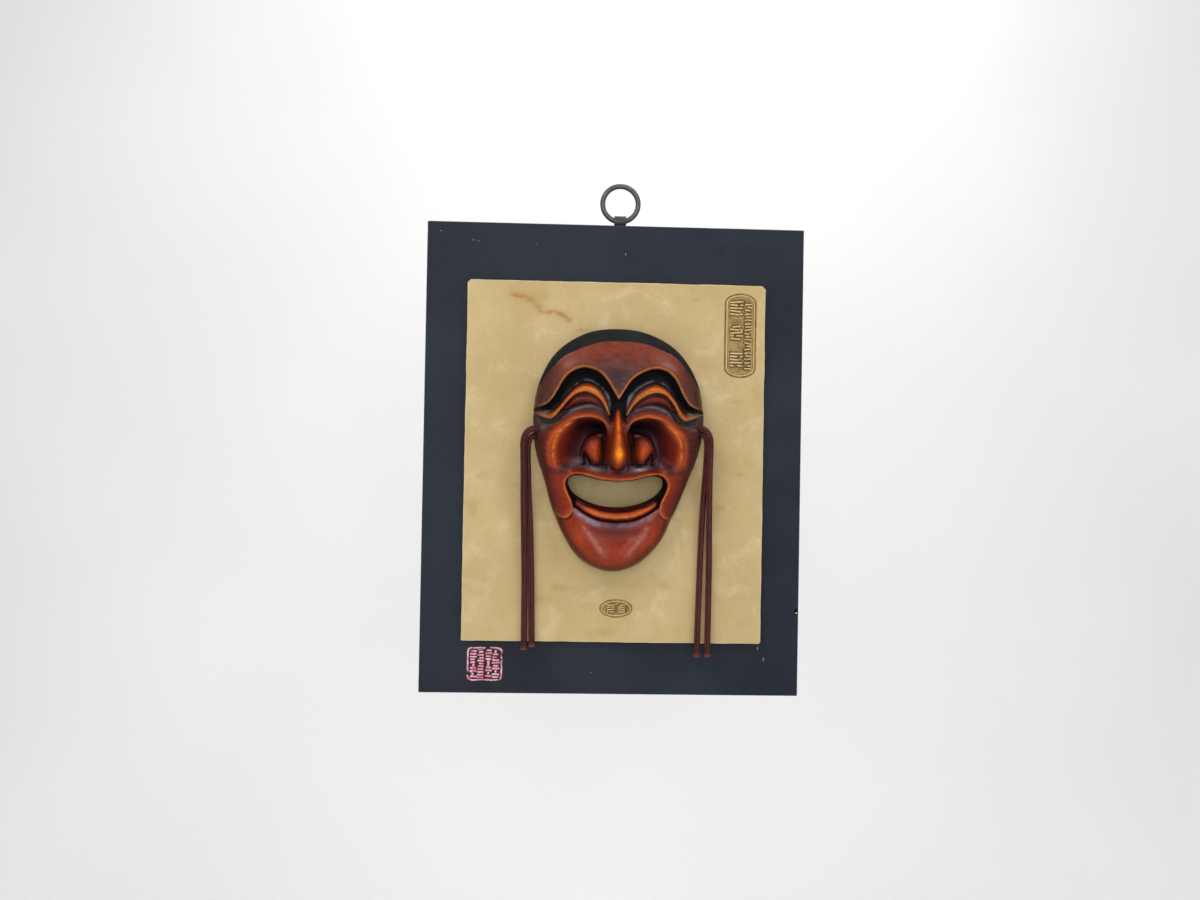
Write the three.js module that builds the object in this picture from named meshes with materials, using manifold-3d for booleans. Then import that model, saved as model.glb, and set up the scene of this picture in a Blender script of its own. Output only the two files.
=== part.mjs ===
import * as THREE from "three";
import { mergeVertices } from "three/addons/utils/BufferGeometryUtils.js";
import Module from "manifold-3d";

const wasm = await Module();
wasm.setup();

// A souvenir wall plaque that carries a cast theatre mask. Millimetres, +Z up, the front faces -Y.
// The origin is the nail's bearing point, at the inside top of the hanging ring.

// Hanging ring, upright as it hangs
const RING_OUTER_DIAMETER = 21.8;
const RING_WIRE = 2.75;
const RING_RADIUS = (RING_OUTER_DIAMETER - RING_WIRE) / 2;
const RING_CENTRE_Z = -(RING_RADIUS - RING_WIRE / 2);
const PIVOT_Z = RING_CENTRE_Z - RING_RADIUS;

// Strap that holds the ring, folded from one strip
const STRAP_WIDTH = 6.2;
const STRAP_SHEET = 0.8;
const STRAP_LOOP_INNER = 2.2;
const STRAP_BELOW_EDGE = 19;
const STRAP_CLEARANCE = 0.3;
const LOOP_OUTER = STRAP_LOOP_INNER + STRAP_SHEET;

// Board
const BOARD_WIDTH = 200;
const BOARD_HEIGHT = 248;
const BOARD_THICKNESS = 9;
const BOARD_BACK_Y = 3.5;
const BOARD_FRONT_Y = BOARD_BACK_Y - BOARD_THICKNESS;
const BOARD_X = -1.8;
const BOARD_TOP_Z = PIVOT_Z - LOOP_OUTER - STRAP_CLEARANCE;
const BOARD_Z = BOARD_TOP_Z - BOARD_HEIGHT / 2;
const BOARD_EASED_EDGE = 0.5;
const REBATE_WIDTH = 8.2;
const REBATE_DEPTH = 3.25;
const REBATE_HEIGHT = 21;

// Screw that holds the strap in the rebate
const SCREW_BELOW_EDGE = 13;
const SCREW_HEAD_RADIUS = 2.4;
const SCREW_HEAD_HEIGHT = 1.2;
const SCREW_SHANK_RADIUS = 1.2;
const SCREW_SHANK_LENGTH = 5.5;
const SCREW_HOLE_RADIUS = 1.5;
const SCREW_HOLE_IN_BOARD = 4.5;

// Panel
const PANEL_WIDTH = 157.4;
const PANEL_HEIGHT = 189.3;
const PANEL_THICKNESS = 3;
const PANEL_X = BOARD_X + 0.6;
const PANEL_Z = BOARD_TOP_Z - 125.5;
const PANEL_FRONT_Y = BOARD_FRONT_Y - PANEL_THICKNESS;
const PANEL_CORNERS = { topLeft: 2, topRight: 2.2, bottomRight: 1.3, bottomLeft: 0.8 };
const RELIEF_HEIGHT = 0.6;
const RELIEF_RIM = 1.1;
const CARTOUCHE = { x: BOARD_X + 66, z: BOARD_TOP_Z - 57.7, width: 15.4, height: 43.2, endRise: 4.6 };
const OVAL = { x: BOARD_X + 2.75, z: BOARD_TOP_Z - 201.9, width: 16.9, height: 9.1 };

// Mask: p runs across the face from its middle line, q up it, both from the middle of its outline
const MASK_X = BOARD_X + 1;
const MASK_Z = BOARD_Z + 4.7;
const MASK_EDGE_HEIGHT = 5;
const MASK_RIM = 4;
const HOLLOW = { low: 5.3, high: 10, edge: 14, centreQ: -8, reach: [28, 25] };
const HOLLOW_EDGE_HEIGHT = 0.5;
const FRONT_CELLS = [36, 54];
const SNAP = 1.1;
const BACK_CELLS = [16, 22];
const CORD_DIAMETER = 3.2;
const CORD_HOLE_RADIUS = 2.15;
const CORD_SIDES = 8;
const CORD_STEPS = 28;

// The outline's half widths, left and right, from the crown down to the chin
const OUTLINE = {
  right: [[0, 62.8], [15.6, 60.6], [31.2, 51.8], [42, 35], [45, 16.6], [43.2, 1.4], [37.2, -16.5],
    [29.6, -35], [22, -49.6], [9.5, -60.2]],
  left: [[-2.5, -62.9], [-14.8, -58.7], [-22.3, -51.4], [-31.4, -33.9], [-36.6, -16.8], [-41.7, 0],
    [-43, 16.6], [-41, 32], [-32, 49.7], [-16, 60.4]],
};

// Carved lines of one half of the face, from the middle line outwards; the other half mirrors them
const LINES = {
  brow: [[0, 26], [2.7, 30.4], [6.3, 35.9], [10.4, 39.8], [17.3, 41.9], [22.9, 40.4], [27.5, 36.6],
    [33.2, 26.8], [36.4, 23.2], [41.5, 21.4]],
  browFloor: [[2.9, 16.8], [4.4, 23.4], [7, 29.5], [11, 33.6], [16.5, 35.5], [22, 33.3], [26.7, 28],
    [30.6, 22.6], [34.9, 19.7], [41, 19.2]],
  ridge: [[4.9, 18.1], [7.4, 23], [11.2, 27.3], [17.3, 29.4], [21.6, 28.3], [25.7, 24.9], [29.5, 20],
    [32.6, 16.5], [35.1, 15.2], [41, 17.4]],
  arch: [[5.1, 16.3], [9.5, 19.7], [14.8, 21.3], [22, 19.5], [26.8, 16.4], [31.2, 13.1], [35, 12],
    [42, 13.6]],
  cheek: [[5, -6], [5, 2], [5.3, 9.5], [7.3, 14], [12.9, 16.1], [19.3, 15.9], [25.4, 13.9],
    [30.3, 9.8], [33.3, 4], [33.9, -2.8], [33, -7.8], [30, -11.5], [24, -12]],
  hair: [[0, 55.7], [9, 55], [20, 51.4], [28.1, 47.3], [35.3, 40.1], [40.3, 33], [46, 24]],
  wing: [[5, 8.6], [11.7, 7.5], [16.6, 3.4], [18.9, -1.6], [18.8, -8]],
  lipRim: [[0, -15.8], [8.5, -14.9], [15, -13.2], [19.8, -12.3], [23.4, -13.1], [25.9, -15.8],
    [26.3, -18.5], [24.9, -22.5], [22.8, -27], [22.3, -31], [23.8, -34], [26.8, -35.2], [33, -31.5]],
  chin: [[0, -37.4], [9, -36.4], [15.8, -33.8], [21.5, -29.6], [23, -27]],
  nose: [[0, 20.5], [2, 17], [2.7, 14.5], [4.1, 9.4], [5, 4.4], [5.8, 0], [6, -4], [4.6, -8], [0, -10.1]],
};
const MOUTH = [[0, -16.5], [8.6, -15.6], [15, -14.1], [20.4, -13.5], [23.4, -15.2], [23.6, -18],
  [21.7, -21.9], [17.6, -25.2], [11.9, -27.8], [5.5, -29.3], [0, -29.7]];

// Heights above the panel
const TOP = { brow: 17.5, crown: 14, cheek: 15.5, jowl: 15, chinEdge: 15.6, chin: 18.2 };
const DOME_EDGE = 18;
const HAIR_RAISED = 0.4;
const CARVED_WALL = 1.8;
const BROW_DEPTH = 4.4;
const RIDGE_START = -3;
const RIDGE_CREST = 0.5;
const EYE_DEPTH = 4.4;
const EYE_LENS = { p: 17, half: 8.2, top: [21.4, 5], bottom: [20.8, 2.3], rise: 2.4, edge: 1.6 };
const ARCH_DROP = 2;
const CHEEK_BULGE = 3.4;
const HOLLOW_FLOOR = 8.5;
const MUZZLE = { q: -18, reach: [29, 11], top: 19.5 };
const LIP_RIM = 0.5;

// Nose: its half width and its height above the panel at rows q
const NOSE_ROWS = [[20.5, 0.6, 15], [17, 2, 17.2], [14.5, 2.7, 18.6], [9.4, 4.1, 21.6], [4.4, 5, 24.8],
  [0, 5.6, 27.4], [-4, 5.9, 28.5]];
const NOSE_TIP = { q: -3.9, reach: [6, 6.2], top: 31 };
const NOSE_WING = { inner: 7.2, bottom: -7.5, base: 10, rise: 9.5, edge: 5 };
const NOSTRIL = { p: 16.9, q: -3.2, reach: [1.15, 2.6], lean: 0.25, depth: 4.5 };

// Cord routes as p, q and the height above the panel, from the hole in the mask's edge downwards
const CORD_ROUTES = {
  cord_left_outer: [[-37.9, 8.8, 7.9], [-40.1, 10, 9.6], [-43, 10.5, 11.6], [-45.9, 9.3, 13.2],
    [-48.1, 6.5, 13.9], [-48.9, 3.1, 13.5], [-48.5, -1.5, 12], [-48.3, -8, 10.1], [-48, -16, 8],
    [-47.8, -25, 6.1], [-47.4, -35, 4.4], [-47, -46, 3.1], [-46.6, -58, 2.3], [-46.3, -70, 1.9],
    [-46.2, -82, 1.9], [-46.1, -94, 1.9], [-46, -104.3, 1.9]],
  cord_left_inner: [[-38.9, 6.4, 5.4], [-41, 5.6, 7.3], [-42.6, 4.4, 8.4], [-44, 2.7, 9.1],
    [-44.8, 0.6, 9.4], [-45.1, -1.7, 9.1], [-45, -7, 8], [-44.8, -14, 6.5], [-44.5, -23, 4.9],
    [-44.1, -33, 3.6], [-43.6, -44, 2.6], [-43.1, -56, 2], [-42.8, -68, 1.9], [-42.5, -80, 1.9],
    [-42.2, -92, 1.9], [-41.9, -102.7, 1.9]],
  cord_right_outer: [[40.9, 12.5, 7.9], [43.3, 12, 9.6], [45.4, 11.1, 11], [47.1, 9.4, 11.9],
    [48.3, 7, 12.2], [48.7, 4.4, 11.9], [49, -1, 11], [49.1, -8, 9.3], [49.4, -16, 7.6],
    [49.6, -25, 5.8], [49.8, -35, 4.2], [49.9, -46, 3], [50, -58, 2.2], [50, -70, 1.9], [50, -82, 1.9],
    [49.9, -95, 1.9], [49.8, -107, 1.9]],
  cord_right_inner: [[41.5, 9.5, 5.7], [43.6, 8, 7.2], [44.9, 6.7, 8.1], [46, 5.1, 8.6],
    [46.5, 3.2, 8.6], [46.7, 1.2, 8.3], [46.7, -4, 7.2], [46.8, -11, 6.1], [46.6, -20, 4.6],
    [46.3, -30, 3.3], [45.9, -42, 2.3], [45.4, -55, 1.9], [45.1, -68, 1.9], [44.8, -81, 1.9],
    [44.5, -94, 1.9], [44.3, -107, 1.9]],
};

const clamp = (x, low, high) => Math.min(high, Math.max(low, x));
const blend = (a, b, t) => a + (b - a) * t;

function smooth(low, high, x) {
  const t = clamp((x - low) / (high - low), 0, 1);
  return t * t * (3 - 2 * t);
}

function softMax(a, b, reach) {
  const near = Math.max(reach - Math.abs(a - b), 0) / reach;
  return Math.max(a, b) + (near * near * reach) / 4;
}

const quarterRound = (t) => Math.sqrt(1 - (1 - clamp(t, 0, 1)) ** 2);

function spline(points, steps, closed = false) {
  const line = points.map(([x, y]) => new THREE.Vector3(x, y, 0));
  return new THREE.CatmullRomCurve3(line, closed, "centripetal").getPoints(steps);
}

const outline = spline([...OUTLINE.right, ...OUTLINE.left], 160, true).slice(0, -1);
const lines = {};
for (const [name, points] of Object.entries(LINES)) lines[name] = spline(points, points.length * 4);

// The nearest point of a line, and on which side of it p, q lies when it is followed from its start
function nearest(line, p, q) {
  let best = { gap: Infinity };
  for (let i = 1; i < line.length; i++) {
    const a = line[i - 1];
    const dx = line[i].x - a.x;
    const dy = line[i].y - a.y;
    const along = ((p - a.x) * dx + (q - a.y) * dy) / (dx * dx + dy * dy);
    const t = clamp(along, 0, 1);
    const x = a.x + dx * t;
    const y = a.y + dy * t;
    const gap = Math.hypot(p - x, q - y);
    if (gap < best.gap - 1e-9) best = { gap, x, y, side: dx * (q - a.y) - dy * (p - a.x) };
  }
  return best;
}

// Distance to a line, positive on its left
function distance(line, p, q) {
  const { gap, side } = nearest(line, p, q);
  return side < 0 ? -gap : gap;
}

const insideEdge = (p, q) => Math.max(0, -distance([...outline, outline[0]], p, q));

// The plain dome of the face, before its carving
function dome(p, q, inside) {
  const upper = blend(TOP.brow, TOP.crown, smooth(40, 60, q));
  const lower = blend(TOP.jowl, TOP.cheek, smooth(-22, -4, q));
  const face = blend(lower, upper, smooth(8, 26, q));
  const chin = blend(TOP.chin, TOP.chinEdge, smooth(-46, -37, q));
  const top = blend(chin, face, smooth(-37, -31, q));
  return blend(MASK_EDGE_HEIGHT, top, quarterRound(inside / DOME_EDGE));
}

const risen = (t) => Math.sin((clamp(t, 0, 1) * Math.PI) / 2);

// The eye's lens shaped lid, as a height above the floor of the eye
function eyeLens(half, q) {
  const { p, half: reach, top, bottom, rise, edge } = EYE_LENS;
  const arc = Math.max(0, 1 - ((half - p) / reach) ** 2);
  const gap = Math.min(top[0] + top[1] * arc ** 0.8 - q, q - bottom[0] - bottom[1] * arc);
  return rise * Math.sqrt(clamp(gap / edge, 0, 1));
}

// Brow groove, brow ridge, eye and the band below it, as steps from the dome
function eyeCarving(half, q, inside) {
  const fade = smooth(0, 7, inside);
  const brow = distance(lines.brow, half, q);
  const floor = distance(lines.browFloor, half, q);
  const ridge = distance(lines.ridge, half, q);
  const arch = distance(lines.arch, half, q);
  if (brow >= 0) return 0;
  if (floor >= 0) {
    const rise = (-brow / (floor - brow)) ** 2;
    return -BROW_DEPTH * fade * smooth(0, CARVED_WALL, -brow) * (1 - 0.35 * rise);
  }
  if (ridge >= 0) return fade * blend(RIDGE_START, RIDGE_CREST, risen(-floor / (ridge - floor)));
  if (arch >= 0) {
    const lid = Math.max(0, eyeLens(half, q), (EYE_DEPTH - 1.4) * (1 - smooth(0, CARVED_WALL, arch)));
    return fade * blend(RIDGE_CREST, lid - EYE_DEPTH, smooth(0, CARVED_WALL, -ridge));
  }
  const cheek = Math.abs(distance(lines.cheek, half, q));
  return -ARCH_DROP * fade * (1 - risen(-arch / (cheek - arch)));
}

// Full cheeks, with the deep hollow between each cheek and the nose
function cheekCarving(half, q, plain) {
  const cheek = distance(lines.cheek, half, q);
  const arch = distance(lines.arch, half, q);
  const bulge = CHEEK_BULGE * Math.exp(-((cheek / 7) ** 2)) * smooth(0, 5, -arch) * smooth(-15, -8, q);
  if (cheek >= 0 || arch >= 0) return plain + bulge;
  const wing = Math.abs(distance(lines.wing, half, q));
  const side = smooth(18, 30, half);
  const t = -cheek / (wing - cheek);
  const sink = smooth(0, blend(0.4, 1, side), t) * smooth(-16, -8, q);
  return blend(plain + bulge, HOLLOW_FLOOR, sink);
}

// An ellipsoid's height, or its base outside it
function ball(p, q, centreQ, [reachP, reachQ], top, base) {
  const r = (p / reachP) ** 2 + ((q - centreQ) / reachQ) ** 2;
  return base + (top - base) * Math.sqrt(Math.max(0, 1 - r));
}

function noseRow(q) {
  const below = clamp(NOSE_ROWS.findIndex(([row]) => row <= q), 1, NOSE_ROWS.length - 1);
  const [a, b] = [NOSE_ROWS[below - 1], NOSE_ROWS[below]];
  const t = clamp((a[0] - q) / (a[0] - b[0]), 0, 1);
  return { width: blend(a[1], b[1], t), top: blend(a[2], b[2], t) };
}

// A wing of the nose is a pillow inside its traced edge, with the nostril sunk into it
function noseWing(half, q) {
  const { inner, bottom, base, rise, edge } = NOSE_WING;
  const gap = Math.min(-distance(lines.wing, half, q), half - inner, q - bottom);
  if (gap <= 0) return 0;
  const across = (half - NOSTRIL.p - NOSTRIL.lean * (q - NOSTRIL.q)) / NOSTRIL.reach[0];
  const along = (q - NOSTRIL.q) / NOSTRIL.reach[1];
  const nostril = NOSTRIL.depth * Math.exp(-(across ** 2) - along ** 2);
  return base + rise * quarterRound(gap / edge) - nostril;
}

function nose(half, q) {
  const [first, last] = [NOSE_ROWS[0][0], NOSE_ROWS.at(-1)[0]];
  const { width, top } = noseRow(q);
  const foot = 8;
  const along = q <= first && q > last;
  const shaft = along ? foot + (top - foot) * Math.max(0, 1 - (half / width) ** 2) ** 0.6 : 0;
  const shell = 20;
  const tip = ball(half, q, NOSE_TIP.q, NOSE_TIP.reach, NOSE_TIP.top, shell);
  return Math.max(shaft, tip > shell ? tip : 0, noseWing(half, q));
}

// Everything above the line of the lips and jowls
function upperFace(half, q, inside) {
  const plain = dome(half, q, inside) + eyeCarving(half, q, inside);
  const cheeks = cheekCarving(half, q, plain);
  const muzzle = ball(half, q, MUZZLE.q, MUZZLE.reach, MUZZLE.top, MASK_EDGE_HEIGHT);
  const lip = q < NOSE_WING.bottom ? softMax(cheeks, muzzle, 2) : cheeks;
  const hair = HAIR_RAISED * smooth(-0.6, 0.6, distance(lines.hair, half, q));
  return softMax(lip, nose(half, q), 0.5) + hair;
}

// Lower lip and chin, which lie a step behind the jowls
function jaw(half, q, inside) {
  const chin = distance(lines.chin, half, q);
  const plain = dome(half, q, inside) - 1.2 * smooth(-40, -36, q) * smooth(20, 24, half);
  if (chin <= 0) return plain;
  const lip = 14.8 - 1.1 * ((chin - 3.1) / 2) ** 2;
  const groove = blend(plain, 12.8, smooth(0, 0.9, chin));
  const inner = blend(13, 8.5, smooth(5, 8.5, chin));
  const corner = smooth(19.5, 22, half);
  const body = chin < 1.1 ? groove : chin < 5.2 ? lip : inner;
  return blend(body, Math.min(body, 10), corner);
}

function maskHeight(p, q) {
  const half = Math.abs(p);
  const inside = insideEdge(p, q);
  const rim = distance(lines.lipRim, half, q);
  const upper = upperFace(half, q, inside);
  if (rim >= 0) return upper + LIP_RIM * Math.exp(-rim / 1.2) * smooth(0, 3, inside);
  const step = smooth(0, CARVED_WALL, -rim);
  return blend(upper, jaw(half, q, inside), step);
}

// Radius of the outline against the ellipse that it nearly follows, by direction
const HALF_WIDTH = 44;
const HALF_HEIGHT = 62.9;
const outlineByAngle = outline
  .map((v) => ({ angle: Math.atan2(v.y, v.x), ratio: Math.hypot(v.x / HALF_WIDTH, v.y / HALF_HEIGHT) }))
  .sort((a, b) => a.angle - b.angle);

function outlineRatio(angle) {
  const after = outlineByAngle.findIndex((o) => o.angle > angle);
  const b = outlineByAngle[Math.max(after, 0)];
  const a = outlineByAngle.at(after - 1 < 0 ? -1 : after - 1);
  const turn = 2 * Math.PI;
  const span = (b.angle - a.angle + turn) % turn;
  return blend(a.ratio, b.ratio, ((angle - a.angle + turn) % turn) / span);
}

// A point of the outlined disc, for u and v from -1 to 1 over a square
function discPoint(u, v, inset) {
  const x = u * Math.sqrt(1 - (v * v) / 2) * HALF_WIDTH;
  const y = v * Math.sqrt(1 - (u * u) / 2) * HALF_HEIGHT;
  const reach = Math.hypot(x / HALF_WIDTH, y / HALF_HEIGHT);
  const ratio = blend(1, outlineRatio(Math.atan2(y, x)), reach * reach);
  const length = Math.hypot(x, y) * ratio;
  const scale = length > 1e-6 ? (ratio * (length - inset * reach)) / length : 1;
  return [x * scale, y * scale];
}

// Moves a point onto the nearest carved line if it lies close, so that edges follow the carving
function snapToCarving(p, q) {
  if (insideEdge(p, q) < SNAP) return [p, q];
  const feet = Object.values(lines).map((line) => nearest(line, Math.abs(p), q));
  const foot = feet.reduce((a, b) => (b.gap < a.gap ? b : a));
  return foot.gap < SNAP ? [p < 0 ? -foot.x : foot.x, foot.y] : [p, q];
}

// A closed solid over the disc, from a flat underside up to height(p, q)
function reliefSolid([across, up], inset, underside, height, snap = (p, q) => [p, q]) {
  const top = [];
  for (let j = 0; j <= up; j++) {
    for (let i = 0; i <= across; i++) {
      const [p, q] = snap(...discPoint((2 * i) / across - 1, (2 * j) / up - 1, inset));
      top.push(new THREE.Vector3(p, -height(p, q), q));
    }
  }
  const ring = [];
  for (let i = 0; i < across; i++) ring.push(i);
  for (let j = 0; j < up; j++) ring.push(j * (across + 1) + across);
  for (let i = across; i > 0; i--) ring.push(up * (across + 1) + i);
  for (let j = up; j > 0; j--) ring.push(j * (across + 1));
  const base = ring.map((k) => new THREE.Vector3(top[k].x, -underside, top[k].z));
  const faces = [];
  for (let j = 0; j < up; j++) {
    for (let i = 0; i < across; i++) {
      const a = j * (across + 1) + i;
      const b = a + across + 1;
      const rising = Math.abs(top[a].y - top[b + 1].y) < Math.abs(top[a + 1].y - top[b].y);
      if (rising) faces.push([a, a + 1, b + 1], [a, b + 1, b]);
      else faces.push([a, a + 1, b], [a + 1, b + 1, b]);
    }
  }
  ring.forEach((k, n) => {
    const m = (n + 1) % ring.length;
    faces.push([k, top.length + n, top.length + m], [k, top.length + m, ring[m]]);
  });
  const flat = base.map((v) => new THREE.Vector2(v.x, v.z));
  for (const [a, b, c] of THREE.ShapeUtils.triangulateShape(flat, [])) {
    faces.push([top.length + a, top.length + c, top.length + b]);
  }
  const geometry = new THREE.BufferGeometry().setFromPoints([...top, ...base]);
  geometry.setIndex(faces.flat());
  return geometry;
}

function solid(geometry) {
  const bare = geometry.clone();
  bare.deleteAttribute("normal");
  bare.deleteAttribute("uv");
  const merged = mergeVertices(bare, 1e-4);
  return new wasm.Manifold(new wasm.Mesh({
    numProp: 3,
    vertProperties: new Float32Array(merged.attributes.position.array),
    triVerts: new Uint32Array(merged.index.array),
  }));
}

function geometryOf(manifold) {
  const mesh = manifold.getMesh();
  const geometry = new THREE.BufferGeometry();
  geometry.setAttribute("position", new THREE.BufferAttribute(mesh.vertProperties, 3));
  geometry.setIndex(new THREE.BufferAttribute(mesh.triVerts, 1));
  return geometry;
}

function finish(color, roughness, metalness) {
  return new THREE.MeshStandardMaterial({ color, roughness, metalness });
}

const materials = {
  blackPaint: () => finish(0x2d313a, 0.45, 0),
  castPanel: () => finish(0xc4ac7e, 0.7, 0),
  maskLacquer: () => finish(0x8a3a24, 0.35, 0),
  maroonCord: () => finish(0x46231f, 0.8, 0),
  blackedSteel: () => finish(0x464b48, 0.35, 0.9),
};

function named(name, geometry, material) {
  const mesh = new THREE.Mesh(geometry, material);
  mesh.name = name;
  return mesh;
}

// A shape drawn as seen from the front, made thick away from the viewer
function plate(shape, frontY, thickness, bevel = 0) {
  const geometry = new THREE.ExtrudeGeometry(shape, {
    depth: thickness - 2 * bevel,
    bevelEnabled: bevel > 0,
    bevelThickness: bevel,
    bevelSize: bevel,
    bevelOffset: -bevel,
    bevelSegments: 1,
    curveSegments: 12,
  });
  return geometry.rotateX(Math.PI / 2).translate(0, frontY + thickness - bevel, 0);
}

function cutCorners(x, z, width, height, corners) {
  const left = x - width / 2;
  const right = x + width / 2;
  const low = z - height / 2;
  const high = z + height / 2;
  const { topLeft, topRight, bottomRight, bottomLeft } = corners;
  return new THREE.Shape([
    new THREE.Vector2(left + bottomLeft, low), new THREE.Vector2(right - bottomRight, low),
    new THREE.Vector2(right, low + bottomRight), new THREE.Vector2(right, high - topRight),
    new THREE.Vector2(right - topRight, high), new THREE.Vector2(left + topLeft, high),
    new THREE.Vector2(left, high - topLeft), new THREE.Vector2(left, low + bottomLeft),
  ]);
}

function screwHole(radius, fromY, toY) {
  const geometry = new THREE.CylinderGeometry(radius, radius, toY - fromY, 16);
  return solid(geometry.translate(0, (fromY + toY) / 2, BOARD_TOP_Z - SCREW_BELOW_EDGE));
}

function board() {
  const corner = 0.8;
  const corners = { topLeft: corner, topRight: corner, bottomRight: corner, bottomLeft: corner };
  const shape = cutCorners(BOARD_X, BOARD_Z, BOARD_WIDTH, BOARD_HEIGHT, corners);
  const slab = solid(plate(shape, BOARD_FRONT_Y, BOARD_THICKNESS, BOARD_EASED_EDGE));
  const beyond = 5;
  const rebate = new THREE.BoxGeometry(REBATE_WIDTH, REBATE_DEPTH + beyond, REBATE_HEIGHT + beyond);
  rebate.translate(0, BOARD_BACK_Y + (beyond - REBATE_DEPTH) / 2,
    BOARD_TOP_Z + (beyond - REBATE_HEIGHT) / 2);
  const floorY = BOARD_BACK_Y - REBATE_DEPTH;
  const hole = screwHole(SCREW_HOLE_RADIUS, floorY - SCREW_HOLE_IN_BOARD, floorY + 1);
  return named("board", geometryOf(slab.subtract(solid(rebate)).subtract(hole)), materials.blackPaint());
}

function cartoucheShape({ x, z, width, height, endRise }, inset) {
  const shape = new THREE.Shape();
  const half = width / 2 - inset;
  const straight = height / 2 - endRise;
  const rise = endRise - inset;
  shape.moveTo(x + half, z - straight);
  shape.lineTo(x + half, z + straight);
  shape.absellipse(x, z + straight, half, rise, 0, Math.PI);
  shape.lineTo(x - half, z - straight);
  shape.absellipse(x, z - straight, half, rise, Math.PI, 2 * Math.PI);
  return shape;
}

function ovalShape({ x, z, width, height }, inset) {
  const shape = new THREE.Shape();
  shape.absellipse(x, z, width / 2 - inset, height / 2 - inset, 0, 2 * Math.PI);
  return shape;
}

function reliefRim(outer, inner) {
  outer.holes.push(inner);
  const sunk = 0.5;
  return solid(plate(outer, PANEL_FRONT_Y - RELIEF_HEIGHT, RELIEF_HEIGHT + sunk));
}

function panel() {
  const shape = cutCorners(PANEL_X, PANEL_Z, PANEL_WIDTH, PANEL_HEIGHT, PANEL_CORNERS);
  const slab = solid(plate(shape, PANEL_FRONT_Y, PANEL_THICKNESS));
  const cartouche = reliefRim(cartoucheShape(CARTOUCHE, 0), cartoucheShape(CARTOUCHE, RELIEF_RIM));
  const oval = reliefRim(ovalShape(OVAL, 0), ovalShape(OVAL, RELIEF_RIM));
  return named("panel", geometryOf(slab.add(cartouche).add(oval)), materials.castPanel());
}

// The hollow behind the face is a plain dome, lower behind the deep carving round the nose and mouth
function hollowHeight(p, q) {
  const { low, high, edge, centreQ, reach } = HOLLOW;
  const r = (p / reach[0]) ** 2 + ((q - centreQ) / reach[1]) ** 2;
  const top = blend(low, high, smooth(0.9, 1.5, r));
  return blend(HOLLOW_EDGE_HEIGHT, top, quarterRound((insideEdge(p, q) - MASK_RIM) / edge));
}

function mouthCutter() {
  const right = spline(MOUTH, 36);
  const left = right.map((v) => new THREE.Vector3(-v.x, v.y, 0)).reverse();
  const loop = [...right, ...left.slice(1, -1)].map((v) => new THREE.Vector2(v.x, v.y));
  return solid(plate(new THREE.Shape(loop), -40, 45));
}

function cordHole(route) {
  const [start, next] = [route[0], route[2]].map(([p, q, h]) => new THREE.Vector3(p, -h, q));
  const along = next.clone().sub(start).normalize();
  const geometry = new THREE.CylinderGeometry(CORD_HOLE_RADIUS, CORD_HOLE_RADIUS, 16, 12);
  geometry.applyQuaternion(new THREE.Quaternion().setFromUnitVectors(new THREE.Vector3(0, 1, 0), along));
  return solid(geometry.translate(start.x, start.y, start.z));
}

function mask() {
  let face = solid(reliefSolid(FRONT_CELLS, 0, 0, maskHeight, snapToCarving));
  face = face.subtract(solid(reliefSolid(BACK_CELLS, MASK_RIM, -2, hollowHeight)));
  face = face.subtract(mouthCutter());
  for (const route of Object.values(CORD_ROUTES)) face = face.subtract(cordHole(route));
  const mesh = named("mask", geometryOf(face), materials.maskLacquer());
  mesh.position.set(MASK_X, PANEL_FRONT_Y, MASK_Z);
  return mesh;
}

function cord(name, route) {
  const points = route.map(([p, q, h]) => new THREE.Vector3(p, -h, q));
  const path = new THREE.CatmullRomCurve3(points, false, "centripetal");
  const section = new THREE.Shape();
  section.absarc(0, 0, CORD_DIAMETER / 2, 0, 2 * Math.PI);
  const geometry = new THREE.ExtrudeGeometry(section, {
    steps: CORD_STEPS,
    curveSegments: CORD_SIDES / 2,
    extrudePath: path,
  });
  const mesh = named(name, geometry, materials.maroonCord());
  mesh.position.set(MASK_X, PANEL_FRONT_Y, MASK_Z);
  return mesh;
}

function hangingRing() {
  const geometry = new THREE.TorusGeometry(RING_RADIUS, RING_WIRE / 2, 8, 32);
  geometry.rotateX(Math.PI / 2).translate(0, 0, RING_CENTRE_Z);
  return named("hanging_ring", geometry, materials.blackedSteel());
}

// The strap from the side: a loop round the ring's wire, and both ends of the strip flat in the rebate
function ringStrap() {
  const nearY = BOARD_BACK_Y - REBATE_DEPTH;
  const farY = nearY + 2 * STRAP_SHEET;
  const low = BOARD_TOP_Z - STRAP_BELOW_EDGE;
  const nearAngle = -Math.acos(nearY / LOOP_OUTER);
  const farAngle = -Math.acos(farY / LOOP_OUTER);
  const shape = new THREE.Shape();
  shape.moveTo(nearY, low);
  shape.lineTo(farY, low);
  shape.absarc(0, PIVOT_Z, LOOP_OUTER, farAngle, nearAngle + 2 * Math.PI);
  const eye = new THREE.Path();
  eye.absarc(0, PIVOT_Z, STRAP_LOOP_INNER, 0, 2 * Math.PI);
  shape.holes.push(eye);
  const geometry = new THREE.ExtrudeGeometry(shape, {
    depth: STRAP_WIDTH,
    bevelEnabled: false,
    curveSegments: 14,
  });
  geometry.rotateX(Math.PI / 2).rotateZ(Math.PI / 2).translate(-STRAP_WIDTH / 2, 0, 0);
  const strip = solid(geometry).subtract(screwHole(SCREW_HOLE_RADIUS, nearY - 1, farY + 1));
  return named("ring_strap", geometryOf(strip), materials.blackedSteel());
}

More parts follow.
